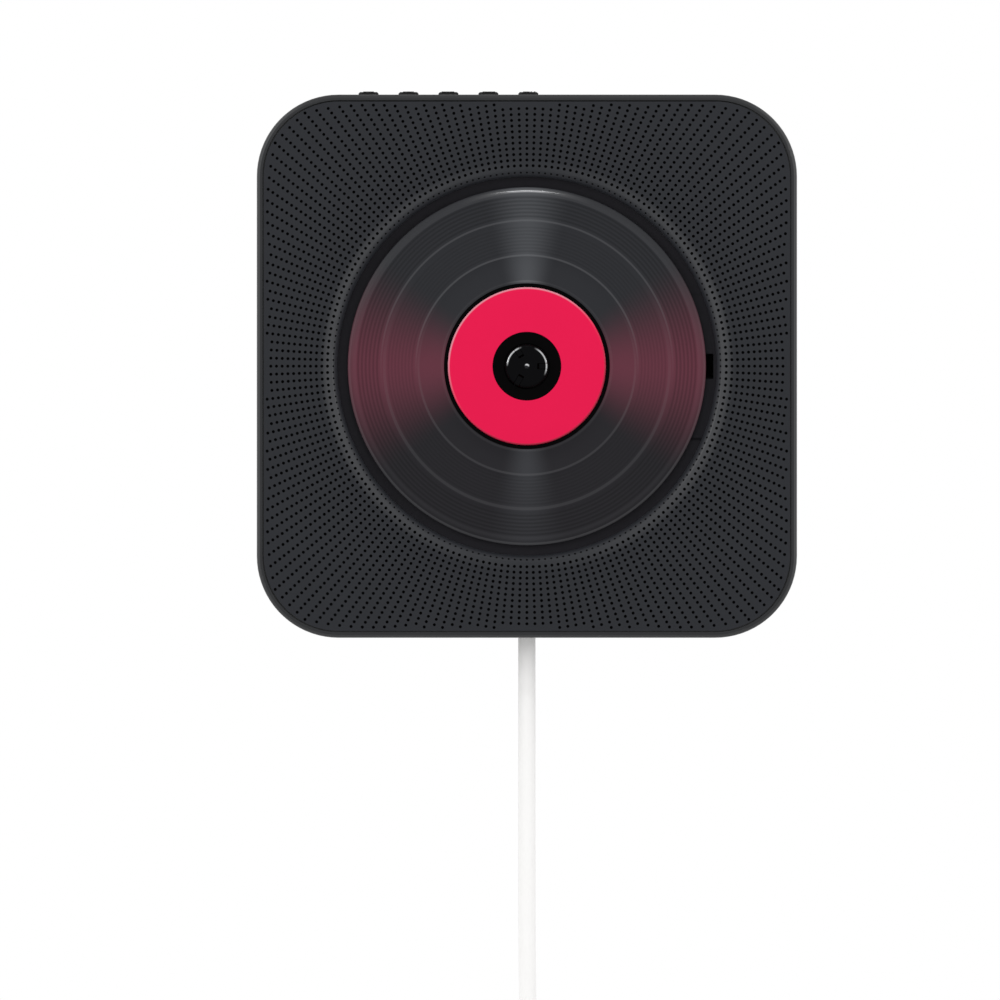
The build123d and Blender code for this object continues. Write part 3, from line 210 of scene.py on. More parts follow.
def at(x, depth, z):
    """The point at x, at a depth from the wall and at height z, in metres."""
    return Vector((x, -depth, z)) * MM


def paint(red, green, blue):
    """A colour as it looks on a screen, from 0 to 255, as the shader wants it in this bright room."""
    shares = [value / 255 for value in (red, green, blue)]
    light = [s / 12.92 if s <= 0.04045 else ((s + 0.055) / 1.055) ** 2.4 for s in shares]
    return [share / ROOM_OVER_READING_LIGHT for share in light] + [1.0]


def toned(colour, share):
    """A colour at a share of its lightness."""
    return [channel * share for channel in colour[:3]] + [1.0]


# ---------------------------------------------------------------- finishes


# The disc's upper half is painted lighter than its bottom half, as painted light and shade, and its streaks
# and shine are painted highlights.
DISC_LIT_UPPER = paint(48, 49, 53)
DISC_SHADED_LOWER = paint(40, 39, 43)
DISC_HIGHLIGHT_STREAK = paint(82, 84, 88)
DISC_LOW_HIGHLIGHT_STREAK = paint(64, 65, 69)
DISC_ROSE = paint(108, 56, 70)
DISC_PAINTED_HIGHLIGHT = paint(235, 236, 240)
LABEL_ROSE = [0.79, 0.008, 0.071, 1.0]
CORD_WHITE = [0.985, 0.98, 0.975, 1.0]
# The next two colours are painted highlights: on the hub's edge and on the spindle's end.
HUB_PAINTED_HIGHLIGHT = [0.62, 0.63, 0.64, 1.0]
SHAFT_PAINTED_HIGHLIGHT = [0.6, 0.61, 0.62, 1.0]


class Varying:
    """A number that changes over a surface. Sums with it add Math nodes to its recipe."""

    def __init__(self, recipe, socket):
        self.recipe = recipe
        self.socket = socket

    def math(self, operation, first, second):
        """A Math node of two values."""
        return self.recipe.node("ShaderNodeMath", {"operation": operation}, {0: first, 1: second})

    def __add__(self, other):
        return self.math("ADD", self, other)

    __radd__ = __add__

    def __sub__(self, other):
        return self.math("SUBTRACT", self, other)

    def __rsub__(self, other):
        return self.math("SUBTRACT", other, self)

    def __mul__(self, other):
        return self.math("MULTIPLY", self, other)

    __rmul__ = __mul__

    def __truediv__(self, other):
        return self.math("DIVIDE", self, other)

    def __pow__(self, other):
        return self.math("POWER", self, other)

    def __abs__(self):
        return self.math("ABSOLUTE", self, 0)


class Recipe:
    """The nodes of one finish, or of the world."""

    def __init__(self, tree):
        self.tree = tree
        tree.nodes.clear()

    def node(self, kind, settings=None, sockets=None, output=0):
        """One node: its settings first, then its sockets' values or links. Gives one of its outputs."""
        made = self.tree.nodes.new(kind)
        for name, value in (settings or {}).items():
            setattr(made, name, value)
        for name, value in (sockets or {}).items():
            if isinstance(value, Varying):
                self.tree.links.new(value.socket, made.inputs[name])
            else:
                made.inputs[name].default_value = value
        return Varying(self, made.outputs[output]) if len(made.outputs) else None

    def place(self):
        """Where a point of the piece lies in the room, in metres."""
        return self.node("ShaderNodeTexCoord", output="Object")

    def axes(self):
        """The x, y and z of a point of the piece, in millimetres."""
        scaled = self.node(
            "ShaderNodeVectorMath", {"operation": "SCALE"}, {0: self.place(), "Scale": 1 / MM}
        )
        split = self.node("ShaderNodeSeparateXYZ", None, {0: scaled})
        return [Varying(self, out) for out in split.socket.node.outputs]

    def round_axis(self):
        """The x, the z and the distance from the disc's axis of a point of the piece, in millimetres."""
        x, _, z = self.axes()
        return x, z, (x * x + z * z) ** 0.5

    def angle(self, up, across):
        """The angle of a direction, in radians."""
        return self.node("ShaderNodeMath", {"operation": "ARCTAN2"}, {0: up, 1: across})

    def noise(self, size, detail=3.0, stretch=(1, 1, 1)):
        """Soft cloudy grain, with spots about size millimetres across and longer along a stretched axis."""
        mapped = self.node(
            "ShaderNodeMapping", None, {"Vector": self.place(), "Scale": [1 / s for s in stretch]}
        )
        return self.node(
            "ShaderNodeTexNoise",
            None,
            {"Vector": mapped, "Scale": 1 / (size * MM), "Detail": detail, "Roughness": 0.5},
        )

    def fade(self, value, start, end):
        """0 where value is at start, 1 where it is at end, and smooth between."""
        return self.node(
            "ShaderNodeMapRange",
            {"interpolation_type": "SMOOTHSTEP"},
            {0: value, 1: start, 2: end},
        )

    def spread(self, value, low, high):
        """Takes 0 to 1 to low to high."""
        return value * (high - low) + low

    def mix(self, share, first, second):
        """A colour between two."""
        return self.node(
            "ShaderNodeMix", {"data_type": "RGBA"}, {0: share, 6: first, 7: second}, output=2
        )

    def relief(self, height, depth):
        """A surface whose grain, from 0 to 1, is depth millimetres deep."""
        sockets = {"Strength": 1.0, "Distance": depth * MM, "Height": height}
        return self.node("ShaderNodeBump", None, sockets)


def finish(name):
    """An empty material and its recipe."""
    material = bpy.data.materials.new(name)
    material.use_nodes = True
    return material, Recipe(material.node_tree)


def coated(recipe, **sockets):
    """Closes a recipe with the surface shader. Underscores in the names of sockets stand for spaces."""
    shader = recipe.node(
        "ShaderNodeBsdfPrincipled", None, {name.replace("_", " "): v for name, v in sockets.items()}
    )
    recipe.node("ShaderNodeOutputMaterial", None, {0: shader})


def mottled(recipe, colour, fine, mottle):
    """A colour that is a little darker and lighter in soft clouds and in a fine grain."""
    cloud = recipe.noise(14.0)
    return recipe.mix(cloud * 0.6 + fine * 0.4, toned(colour, 1 - mottle), toned(colour, 1 + mottle))


def moulded_plastic(name, colour, gloss, grain_size=0.35, grain_depth=0.012, shine=0.2, mottle=0.12):
    """Moulded plastic: a fine spark-eroded grain, and colour and gloss that change a little over it."""
    material, recipe = finish(name)
    fine = recipe.noise(grain_size, detail=2.0)
    coated(
        recipe,
        Base_Color=mottled(recipe, colour, fine, mottle),
        Roughness=recipe.spread(fine, gloss - 0.07, gloss + 0.07),
        Specular_IOR_Level=shine,
        Normal=recipe.relief(fine, grain_depth),
    )
    return material


def case_shell(name, colour):
    """The outer frame and rear cover: satin plastic, with a painted sheen on the frame's front edge, a coat
    that is weaker along the top.
    """
    material, recipe = finish(name)
    _, y, z = recipe.axes()
    fine = recipe.noise(0.35, detail=2.0)
    depth = y * -1.0
    front_edge_sheen = recipe.fade(depth, 36.0, 38.4) * recipe.fade(depth, 39.97, 39.86)
    on_top = recipe.fade(z, 84.0, 89.5)
    coated(
        recipe,
        Base_Color=mottled(recipe, colour, fine, 0.12),
        Roughness=recipe.spread(fine, 0.45, 0.58),
        Specular_IOR_Level=0.2,
        # A coat laid on the front edge for a painted sheen, with less of it along the top edge.
        Coat_Weight=front_edge_sheen * (0.65 - on_top * 0.55),
        Coat_Roughness=0.35,
        Normal=recipe.relief(fine, 0.012),
    )
    return material


def panel_face(name, colour):
    """The front panel: satin plastic, with a painted sheen on the lip of the well, a coat that is strongest
    at either side.
    """
    material, recipe = finish(name)
    x, _, radius = recipe.round_axis()
    fine = recipe.noise(0.35, detail=2.0)
    up_the_lip = recipe.fade(radius, LIP_FLAT_RADIUS - 2.2, LIP_FLAT_RADIUS - 0.3)
    off_the_lip = recipe.fade(radius, LIP_FLAT_RADIUS + 3.6, LIP_FLAT_RADIUS - 0.1)
    coated(
        recipe,
        Base_Color=mottled(recipe, colour, fine, 0.1),
        Roughness=recipe.spread(fine, 0.48, 0.62),
        Specular_IOR_Level=0.2,
        # A coat laid on the lip for a painted sheen, strongest at the left and right.
        Coat_Weight=up_the_lip * off_the_lip * recipe.spread(abs(x) / radius, 0.08, 1.0),
        Coat_Roughness=0.3,
        Normal=recipe.relief(fine, 0.012),
    )
    return material


def worked_steel(name, colour, gloss, stretch, spangle=0.0):
    """Steel with the fine lines of rolling or turning, and a zinc coat's grain where spangle is above 0."""
    material, recipe = finish(name)
    lines = recipe.noise(0.5, detail=4.0, stretch=stretch)
    crystals = recipe.node(
        "ShaderNodeTexVoronoi", {"feature": "F1"}, {"Vector": recipe.place(), "Scale": 1 / (5.0 * MM)}
    )
    share = lines * (1 - spangle) + crystals * spangle
    coated(
        recipe,
        Base_Color=recipe.mix(share, toned(colour, 0.8), colour),
        Metallic=1.0,
        Roughness=recipe.spread(share, gloss - 0.08, gloss + 0.1),
        Normal=recipe.relief(lines, 0.006),
    )
    return material


def soft_rubber(name, colour):
    """Rubber: a dull bloom in patches, and a fine pebble."""
    material, recipe = finish(name)
    bloom = recipe.noise(4.0)
    pebble = recipe.noise(0.6, detail=1.0)
    dusty = [c * 1.7 + 0.004 for c in colour[:3]] + [1.0]
    coated(
        recipe,
        Base_Color=recipe.mix(bloom * bloom, colour, dusty),
        Roughness=recipe.spread(bloom, 0.7, 0.9),
        Specular_IOR_Level=0.2,
        Normal=recipe.relief(pebble, 0.03),
    )
    return material


def board_laminate(name):
    """A printed board: green lacquer over copper tracks, clouded by the glass fibre under them."""
    material, recipe = finish(name)
    x, y, z = recipe.axes()
    tracks = recipe.node(
        "ShaderNodeTexBrick",
        {"offset": 0.5},
        {
            "Vector": recipe.node("ShaderNodeCombineXYZ", None, {0: x, 1: z, 2: y}),
            "Scale": 0.35,
            "Color1": (1, 1, 1, 1),
            "Color2": (0.7, 0.7, 0.7, 1),
            "Mortar": (0, 0, 0, 1),
            "Mortar Size": 0.12,
        },
    )
    fibre = recipe.noise(0.5, stretch=(6, 6, 1))
    lacquer = recipe.mix(fibre, paint(12, 60, 34), paint(20, 78, 44))
    copper = recipe.mix(fibre, paint(34, 104, 58), paint(40, 116, 64))
    coated(
        recipe,
        Base_Color=recipe.mix(tracks, copper, lacquer),
        Roughness=recipe.spread(fibre, 0.3, 0.45),
        Normal=recipe.relief(tracks, 0.02),
    )
    return material


def pressed_paper(name):
    """Pressed paper of a loudspeaker cone: short fibres that lie across each other."""
    material, recipe = finish(name)
    fibre = recipe.noise(0.8, detail=6.0, stretch=(5, 1, 1))
    cross = recipe.noise(0.8, detail=6.0, stretch=(1, 1, 5))
    coated(
        recipe,
        Base_Color=recipe.mix(fibre * cross, paint(16, 16, 17), paint(52, 51, 50)),
        Roughness=recipe.spread(fibre, 0.75, 0.95),
        Specular_IOR_Level=0.25,
        Normal=recipe.relief(fibre + cross, 0.03),
    )
    return material


def sintered_ferrite(name):
    """Ferrite: a dark grey ceramic with fine pores."""
    material, recipe = finish(name)
    pores = recipe.noise(0.4, detail=5.0)
    coated(
        recipe,
        Base_Color=recipe.mix(pores, paint(38, 38, 40), paint(64, 64, 66)),
        Roughness=recipe.spread(pores, 0.5, 0.7),
        Normal=recipe.relief(pores, 0.02),
    )
    return material


def coated_lens(name):
    """The moulded lens: clear plastic with a bluish coat that is stronger towards its edge."""
    material, recipe = finish(name)
    x, _, z = recipe.axes()
    sideways = x - LENS_CENTRE_X
    rim = recipe.fade((sideways * sideways + z * z) ** 0.5, 0.3 * LENS_RADIUS, LENS_RADIUS)
    swirl = recipe.noise(1.5)
    coated(
        recipe,
        Base_Color=recipe.mix(rim + swirl * 0.1, paint(28, 34, 74), paint(104, 92, 172)),
        Roughness=recipe.spread(swirl, 0.03, 0.07),
        Coat_Weight=1.0,
        Coat_Roughness=0.02,
    )
    return material


def cord_jacket(name, colour):
    """White extruded sheath: a soft sheen, faint lines along the draw and a hint of handling marks."""
    material, recipe = finish(name)
    drawn = recipe.noise(0.8, stretch=(1, 1, 30))
    handled = recipe.noise(9.0)
    warm = [colour[0] * 0.975, colour[1] * 0.97, colour[2] * 0.96, 1.0]
    coated(
        recipe,
        Base_Color=recipe.mix(handled * 0.6 + drawn * 0.3, colour, warm),
        Roughness=recipe.spread(drawn, 0.38, 0.5),
        Specular_IOR_Level=0.2,
        Normal=recipe.relief(drawn, 0.004),
    )
    return material


def ring_band(recipe, radius, inner, outer, soft=0.12):
    """1 between two radii, with a soft edge of that many millimetres."""
    within = 1 - recipe.fade(radius, outer - soft, outer + soft)
    return recipe.fade(radius, inner - soft, inner + soft) * within


def groove_shade(recipe, radius, start, pitch, count):
    """The shade in a band of grooves: 1 at the bottom of each, and 0 between them and outside the band."""
    crest = recipe.node("ShaderNodeMath", {"operation": "COSINE"}, {0: (radius - start) * (tau / pitch)})
    return (0.5 - 0.5 * crest) * ring_band(recipe, radius, start, start + pitch * count)


def disc_surface(name):
    """The disc: a record-like face with painted highlight streaks above and below, its bottom half painted
    darker as shade, painted shade in its grooves, painted highlights on its ridges, and a rose tint at
    either side.
    """
    material, recipe = finish(name)
    x, z, radius = recipe.round_axis()
    from_top = recipe.angle(abs(x), z)
    from_side = abs(recipe.angle(z, abs(x)))
    # Painted shade on the bottom half, and painted highlight streaks above and below.
    lower = recipe.fade(from_top, radians(65), radians(120))
    top_highlight = recipe.fade(from_top, radians(16), radians(0))
    low_highlight = recipe.fade(from_top, radians(180 - 15), radians(180))
    outwards = recipe.fade(radius, 30.0, 58.0)
    rose = recipe.fade(from_side, radians(38), radians(0))

    body = recipe.mix(lower, DISC_LIT_UPPER, DISC_SHADED_LOWER)
    body = recipe.mix(top_highlight, body, DISC_HIGHLIGHT_STREAK)
    body = recipe.mix(low_highlight * (1 - outwards * 0.5), body, DISC_LOW_HIGHLIGHT_STREAK)
    body = recipe.mix(rose, body, DISC_ROSE)
    # The bottoms of the grooves are painted darker, as painted shade.
    fine = groove_shade(recipe, radius, *FINE_GROOVES)
    coarse = groove_shade(recipe, radius, *COARSE_GROOVES)
    body = recipe.mix(fine * 0.16 + coarse * 0.3, body, paint(0, 0, 0))

    # Painted highlights on the ridges' flanks and the disc's edge, each by its inner and outer radius and
    # by how much
    upwards = z / radius
    lit_above = recipe.fade(upwards, -0.3, 0.6)
    lit_below = 1 - recipe.fade(upwards, -0.6, 0.9)
    ridge_highlights = [
        (28.1, 28.8, 0.012 + top_highlight * 0.05),
        (36.0, 36.7, lit_below * 0.03),
        (36.9, 37.5, lit_above * 0.05),
        (48.6, 49.2, lit_above * 0.045),
        (47.3, 48.3, lit_below * 0.024),
        (57.3, 59.9, 0.007 + lit_above * 0.017),
        (59.2, 60.2, lit_below * 0.05),
        (58.35, 58.95, recipe.fade(from_top, radians(9), radians(3)) * 0.4),
    ]
    shine = sum(ring_band(recipe, radius, inner, outer) * share for inner, outer, share in ridge_highlights)
    smear = recipe.noise(12.0)
    sheen_at_top = recipe.fade(from_top, radians(24), radians(6))
    coated(
        recipe,
        Base_Color=recipe.mix(shine, body, DISC_PAINTED_HIGHLIGHT),
        Roughness=recipe.spread(smear, 0.26, 0.38),
        Specular_IOR_Level=0.1,
        # A coat laid only on the outer edge near the top, placed there for a painted highlight.
        Coat_Weight=ring_band(recipe, radius, 58.1, 59.3, 0.2) * sheen_at_top,
        Coat_Roughness=0.12,
    )
    return material


def label_print(name, colour):
    """The bare label: an even satin print, with a lacquered edge that has a painted highlight towards the
    upper left and painted shade towards the lower right.
    """
    material, recipe = finish(name)
    x, z, radius = recipe.round_axis()
    paper = recipe.noise(0.5, detail=4.0)
    cloud = recipe.noise(11.0)
    edge = recipe.fade(radius, LABEL_OUTER_RADIUS - 0.8, LABEL_OUTER_RADIUS - 0.3)
    # A painted highlight on the edge towards the upper left and painted shade towards the lower right, both
    # mixed into the printed colour below.
    to_upper_left = (z * 0.87 - x * 0.5) / radius
    edge_highlight = edge * recipe.fade(to_upper_left, -0.1, 0.7) * 0.55
    edge_shade = edge * recipe.fade(to_upper_left, 0.1, -0.7) * 0.6
    printed = recipe.mix(cloud * 0.7 + paper * 0.3, colour, toned(colour, 0.95))
    printed = recipe.mix(edge_highlight, printed, paint(235, 200, 214))
    printed = recipe.mix(edge_shade, printed, paint(90, 12, 30))
    coated(
        recipe,
        Base_Color=printed,
        Roughness=recipe.spread(paper, 0.4, 0.5),
        Specular_IOR_Level=0.08,
        Coat_Weight=edge * 0.6,
        Coat_Roughness=0.16,
        Normal=recipe.relief(paper, 0.002),
    )
    return material


def hub_gloss(name):
    """The hub: polished black with painted highlights on its edge at the right and the left, and a dull
    rubber ring round it.
    """
    material, recipe = finish(name)
    x, z, radius = recipe.round_axis()
    turn = recipe.angle(z, x)
    # Painted highlights: bright metallic curves on the edge at the right and the left.
    right_highlight = recipe.fade(abs(turn - radians(20)), radians(50), radians(25))
    left_highlight = recipe.fade(abs(turn - radians(143)), radians(40), radians(20))
    highlight_arcs = ring_band(recipe, radius, 6.35, 6.8, 0.15) * (right_highlight + left_highlight) * 0.8
    dust = recipe.noise(1.2, detail=4.0)
    rubber_ring = ring_band(recipe, radius, 9.5, 14.2, 0.05)
    plain = recipe.mix(rubber_ring, paint(7, 7, 9), paint(26, 26, 27))
    coated(
        recipe,
        Base_Color=recipe.mix(highlight_arcs, plain, HUB_PAINTED_HIGHLIGHT),
        Metallic=highlight_arcs,
        Roughness=recipe.spread(dust, 0.12, 0.22) + rubber_ring * 0.5,
        Specular_IOR_Level=0.04,
    )
    return material


def shaft_end(name):
    """The spindle: blackened steel whose domed end has a painted highlight towards its top."""
    material, recipe = finish(name)
    x, z, radius = recipe.round_axis()
    # A painted highlight on the domed end, towards its top.
    near_top = recipe.fade(abs(recipe.angle(z, x) - radians(75)), radians(100), radians(40))
    end_highlight = ring_band(recipe, radius, 0.3, 0.85, 0.1) * near_top
    lines = recipe.noise(0.4, detail=4.0)
    coated(
        recipe,
        Base_Color=recipe.mix(end_highlight, paint(46, 46, 49), SHAFT_PAINTED_HIGHLIGHT),
        Metallic=1.0,
        Roughness=recipe.spread(lines, 0.18, 0.3),
        Normal=recipe.relief(lines, 0.004),
    )
    return material


def disc_black(name):
    """The clear centre and the sunk ring of the disc: deep gloss black with a trace of dust. In the sunk
    ring round the label the black is painted shade.
    """
    material, recipe = finish(name)
    dust = recipe.noise(1.5, detail=4.0)
    coated(
        recipe,
        Base_Color=recipe.mix(dust, paint(3, 3, 3), paint(7, 6, 7)),
        Roughness=recipe.spread(dust, 0.1, 0.2),
        Specular_IOR_Level=0.02,
    )
    return material


FINISHES = {
    "case_plastic": case_shell("charcoal_case", paint(48, 49, 51)),
    "panel_plastic": panel_face("charcoal_panel", paint(41, 43, 48)),
    "deck_plastic": moulded_plastic("black_deck", paint(42, 41, 46), 0.6, shine=0.1),
    "key_plastic": moulded_plastic("black_keys", paint(20, 20, 21), 0.45, shine=0.15),
    "hub_plastic": hub_gloss("black_hub"),
    "disc_plastic": disc_surface("record_black"),
    "label_print": label_print("rose_label", LABEL_ROSE),
    "bright_steel": worked_steel("turned_steel", paint(196, 196, 198), 0.28, (12, 1, 1)),
    "zinc_steel": worked_steel("zinc_coated_steel", paint(176, 178, 180), 0.4, (9, 1, 1), spangle=0.5),
    "black_rubber": soft_rubber("black_rubber", paint(24, 24, 24)),
    "board_laminate": board_laminate("green_board"),
    "chip_epoxy": moulded_plastic(
        "chip_epoxy", paint(24, 24, 25), 0.5, grain_size=0.2, grain_depth=0.01, shine=0.3
    ),
    "lens_glass": coated_lens("coated_lens"),
    "cone_paper": pressed_paper("cone_paper"),
    "ferrite": sintered_ferrite("ferrite"),
    "cord_jacket": cord_jacket("white_cord", CORD_WHITE),
    "tie_band": moulded_plastic(
        "pale_tie", paint(206, 206, 204), 0.5, grain_size=0.5, grain_depth=0.01, shine=0.3, mottle=0.04
    ),
}
# The floor and walls of every hole and dent are painted near black, as painted shade.
HOLE_PAINTED_SHADE = moulded_plastic("hole_painted_shade", paint(9, 9, 10), 0.8, shine=0.05)
DISC_BLACK = disc_black("disc_black")
KEY_MARK = moulded_plastic("key_mark", paint(12, 12, 13), 0.4, shine=0.2)
DARK_STEEL = shaft_end("blackened_steel")


# ---------------------------------------------------------------- shapes


def finished(name, shape, materials, body, stands_for=()):
    """Makes a piece of a shape, smooth but for its sharp edges. Without a body it is left unattached."""
    mesh = bpy.data.meshes.new(name)
    shape.to_mesh(mesh)
    shape.free()
    for material in materials:
        mesh.materials.append(material)
    mesh.shade_smooth()
    mesh.set_sharp_from_angle(angle=radians(SHARP_ANGLE))
    piece = bpy.data.objects.new(name, mesh)
    collection.objects.link(piece)
    if body:
        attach(piece, body)
    if stands_for:
        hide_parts(*stands_for)
    return piece


def profile_edges(shape, profile, closed):
    """Draws a turned piece's half section, given as radius and depth pairs."""
    points = [shape.verts.new(at(radius, depth, 0)) for radius, depth in profile]
    pairs = list(zip(points, points[1:]))
    if closed:
        pairs.append((points[-1], points[0]))
    return points + [shape.edges.new(pair) for pair in pairs]


def turned(profile, steps, closed=True):
    """A piece turned about the disc's axis from its half section."""
    shape = bmesh.new()
    drawn = profile_edges(shape, profile, closed)
    bmesh.ops.spin(
        shape, geom=drawn, cent=(0, 0, 0), axis=(0, 1, 0), angle=tau, steps=steps, use_merge=True
    )
    bmesh.ops.remove_doubles(shape, verts=shape.verts, dist=SAME_POINT)
    bmesh.ops.recalc_face_normals(shape, faces=shape.faces)
    return shape


def rounded(centre_radius, centre_depth, size, angles):
    """Points along an arc of a half section. 0 degrees points outwards and 90 towards the room."""
    turns = [radians(angle) for angle in angles]
    return [(centre_radius + size * cos(turn), centre_depth + size * sin(turn)) for turn in turns]


def on_disc(points):
    """Points of the disc's half section, from radii and heights over its top."""
    return [(radius, DISC_TOP + rise) for radius, rise in points]


def outline_planes():
    """The cuts that give the panel its outline: a point and the way out of each."""
    centre_x = PANEL_HALF_WIDTH - PANEL_CORNER_RADIUS
    centre_z = PANEL_HALF_HEIGHT / HOLE_STRETCH - PANEL_CORNER_RADIUS
    cuts = 4 * OUTLINE_CORNER_CUTS
    for i in range(cuts):
        turn = tau * i / cuts
        way_out = Vector((cos(turn), 0, sin(turn)))
        side_x = (way_out.x > SAME_WAY) - (way_out.x < -SAME_WAY)
        side_z = (way_out.z > SAME_WAY) - (way_out.z < -SAME_WAY)
        corner = at(side_x * centre_x, PANEL_FACE_DEPTH, side_z * centre_z)
        yield corner + way_out * PANEL_CORNER_RADIUS * MM, way_out


def in_hole_field(x, z):
    """True inside the rounded square that the holes fill."""
    over_x = max(abs(x) - (HOLE_FIELD_HALF - HOLE_FIELD_CORNER), 0)
    over_z = max(abs(z) - (HOLE_FIELD_HALF - HOLE_FIELD_CORNER), 0)
    return sqrt(over_x**2 + over_z**2) <= HOLE_FIELD_CORNER


def cell_place(cell):
    """The radius and the angle of a cell's middle, in millimetres and spokes."""
    middle = cell.calc_center_median() / MM
    spoke = Vector((middle.x, middle.z)).angle_signed(Vector((1, 0)))
    return sqrt(middle.x**2 + middle.z**2), spoke / tau * HOLE_SPOKES


def sink_holes(shape, centres, radius, sink):
    """Sinks a round hole in each cell, about the centre given for it and along the cell's own normal."""
    cells = list(centres)
    normals = {cell: cell.normal.copy() for cell in cells}
    rims = list({edge for cell in cells for edge in cell.edges})
    bmesh.ops.bisect_edges(shape, edges=rims, cuts=1)
    bmesh.ops.inset_individual(shape, faces=cells, thickness=HOLE_RIM * MM, use_even_offset=True)
    for cell in cells:
        centre = centres[cell]
        normal = normals[cell]
        corners = list(cell.verts)
        spoke = corners[0].co - centre
        spoke -= normal * spoke.dot(normal)
        spoke.normalize()
        for i, corner in enumerate(corners):
            turn = Matrix.Rotation(tau * i / len(corners), 3, normal)
            corner.co = centre + turn @ spoke * radius * MM
    sunk = bmesh.ops.extrude_discrete_faces(shape, faces=cells)["faces"]
    for floor, cell_normal in zip(sunk, normals.values()):
        for corner in floor.verts:
            corner.co -= cell_normal * sink * MM
        # The floor and walls of the hole take the second finish, painted shade.
        floor.material_index = 1
        for edge in floor.edges:
            for face in edge.link_faces:
                face.material_index = 1


def face_the_room(shape):
    """Turns an open shape's faces so that its front looks at the room."""
    bmesh.ops.recalc_face_normals(shape, faces=shape.faces)
    if sum(face.normal.y for face in shape.faces) > 0:
        bmesh.ops.reverse_faces(shape, faces=shape.faces)


def places_of_holes(shape):
    """The cells that get a sound hole and the cells that get a dent, each with its centre."""
    dent_radius = LIP_FLAT_RADIUS - LIP_ROUND * cos(radians(LIP_DENT_ANGLE))
    holes = {}
    dents = {}
    for cell in shape.faces:
        middle = cell.calc_center_median()
        radius, spoke = cell_place(cell)
        to_room = -cell.normal.y
        if abs(radius - dent_radius) < LIP_DENT_CELL_REACH and to_room > LEANS_TO_ROOM:
            dents[cell] = middle
        ring = HOLE_FIRST_RING + round((radius - HOLE_FIRST_RING) / HOLE_RING_PITCH) * HOLE_RING_PITCH
        turn = round(spoke) / HOLE_SPOKES * tau
        x, z = ring * cos(turn), ring * sin(turn)
        centre = at(x, PANEL_FACE_DEPTH, z)
        on_flat = round(ring, 3) >= HOLE_FIRST_RING and to_room > FACES_ROOM
        if on_flat and in_hole_field(x, z) and (centre - middle).length < HOLE_RING_PITCH * MM:
            holes[cell] = centre
    return holes, dents


def perforated_panel():
    """The front panel: the lip and wall of the well, then a flat face with a ring of cells for each ring of
    holes. The case is taller than it is wide, and outside the lip the rings are stretched as much."""
    wall_radius = LIP_FLAT_RADIUS - LIP_ROUND
    lip_angles = [180 - angle for angle in LIP_ANGLES]
    lip = rounded(LIP_FLAT_RADIUS, PANEL_FACE_DEPTH - LIP_ROUND, LIP_ROUND, lip_angles)
    ring_ends = [HOLE_FIRST_RING + (k + 0.5) * HOLE_RING_PITCH for k in range(HOLE_RINGS)]
    rings = [(ring_end, PANEL_FACE_DEPTH) for ring_end in ring_ends]
    profile = [
        (wall_radius + WELL_WALL, PANEL_BACK_DEPTH),
        (wall_radius + WELL_WALL, WELL_WALL_DEPTH),
        (wall_radius, WELL_WALL_DEPTH),
        *lip,
        *rings,
    ]
    shape = bmesh.new()
    drawn = profile_edges(shape, profile, closed=False)
    half_cell = Matrix.Rotation(pi / HOLE_SPOKES, 3, "Y")
    bmesh.ops.rotate(shape, verts=shape.verts, cent=(0, 0, 0), matrix=half_cell)
    bmesh.ops.spin(
        shape, geom=drawn, cent=(0, 0, 0), axis=(0, 1, 0), angle=tau, steps=HOLE_SPOKES, use_merge=True
    )
    face_the_room(shape)
    for point, way_out in outline_planes():
        whole = shape.verts[:] + shape.edges[:] + shape.faces[:]
        bmesh.ops.bisect_plane(
            shape, geom=whole, dist=SAME_POINT, plane_co=point, plane_no=way_out, clear_outer=True
        )
    face_the_room(shape)

    holes, dents = places_of_holes(shape)
    sink_holes(shape, holes, HOLE_RADIUS, HOLE_SINK)
    sink_holes(shape, dents, LIP_DENT_RADIUS, LIP_DENT_SINK)

    open_edges = [edge for edge in shape.edges if edge.is_boundary]
    outer = [edge for edge in open_edges if edge.verts[0].co.length > BETWEEN_WELL_AND_OUTLINE * MM]
    inner = [edge for edge in open_edges if edge not in outer]
    swept = bmesh.ops.extrude_edge_only(shape, edges=outer)["geom"]
    back_points = [part for part in swept if isinstance(part, bmesh.types.BMVert)]
    bmesh.ops.translate(
        shape, verts=back_points, vec=(0, (PANEL_FACE_DEPTH - PANEL_BACK_DEPTH) * MM, 0)
    )
    back_edges = [part for part in swept if isinstance(part, bmesh.types.BMEdge)]
    back_rim = [edge for edge in back_edges if edge.is_boundary]
    bmesh.ops.triangle_fill(shape, edges=back_rim + inner, use_beauty=True, normal=(0, 1, 0))
    bmesh.ops.recalc_face_normals(shape, faces=shape.faces)
    stretch_start, stretch_end = HOLE_STRETCH_SETS_IN
    for point in shape.verts:
        radius = sqrt(point.co.x**2 + point.co.z**2) / MM
        share = min(max((radius - stretch_start) / (stretch_end - stretch_start), 0), 1)
        point.co.z *= 1 + (HOLE_STRETCH - 1) * share
    return shape


def grooves(start, pitch, count, sink):
    """A band of grooves, as radii and heights over the disc's top."""
    quarters = range(count * 4 + 1)
    return [(start + pitch * i / 4, -sink * (0.5 - 0.5 * cos(tau * i / 4))) for i in quarters]


def ridge(inner, outer, height):
    """A low rounded ridge, as radii and heights over the disc's top."""
    return [(inner + (outer - inner) * i / 6, height * sin(pi * i / 6)) for i in range(7)]


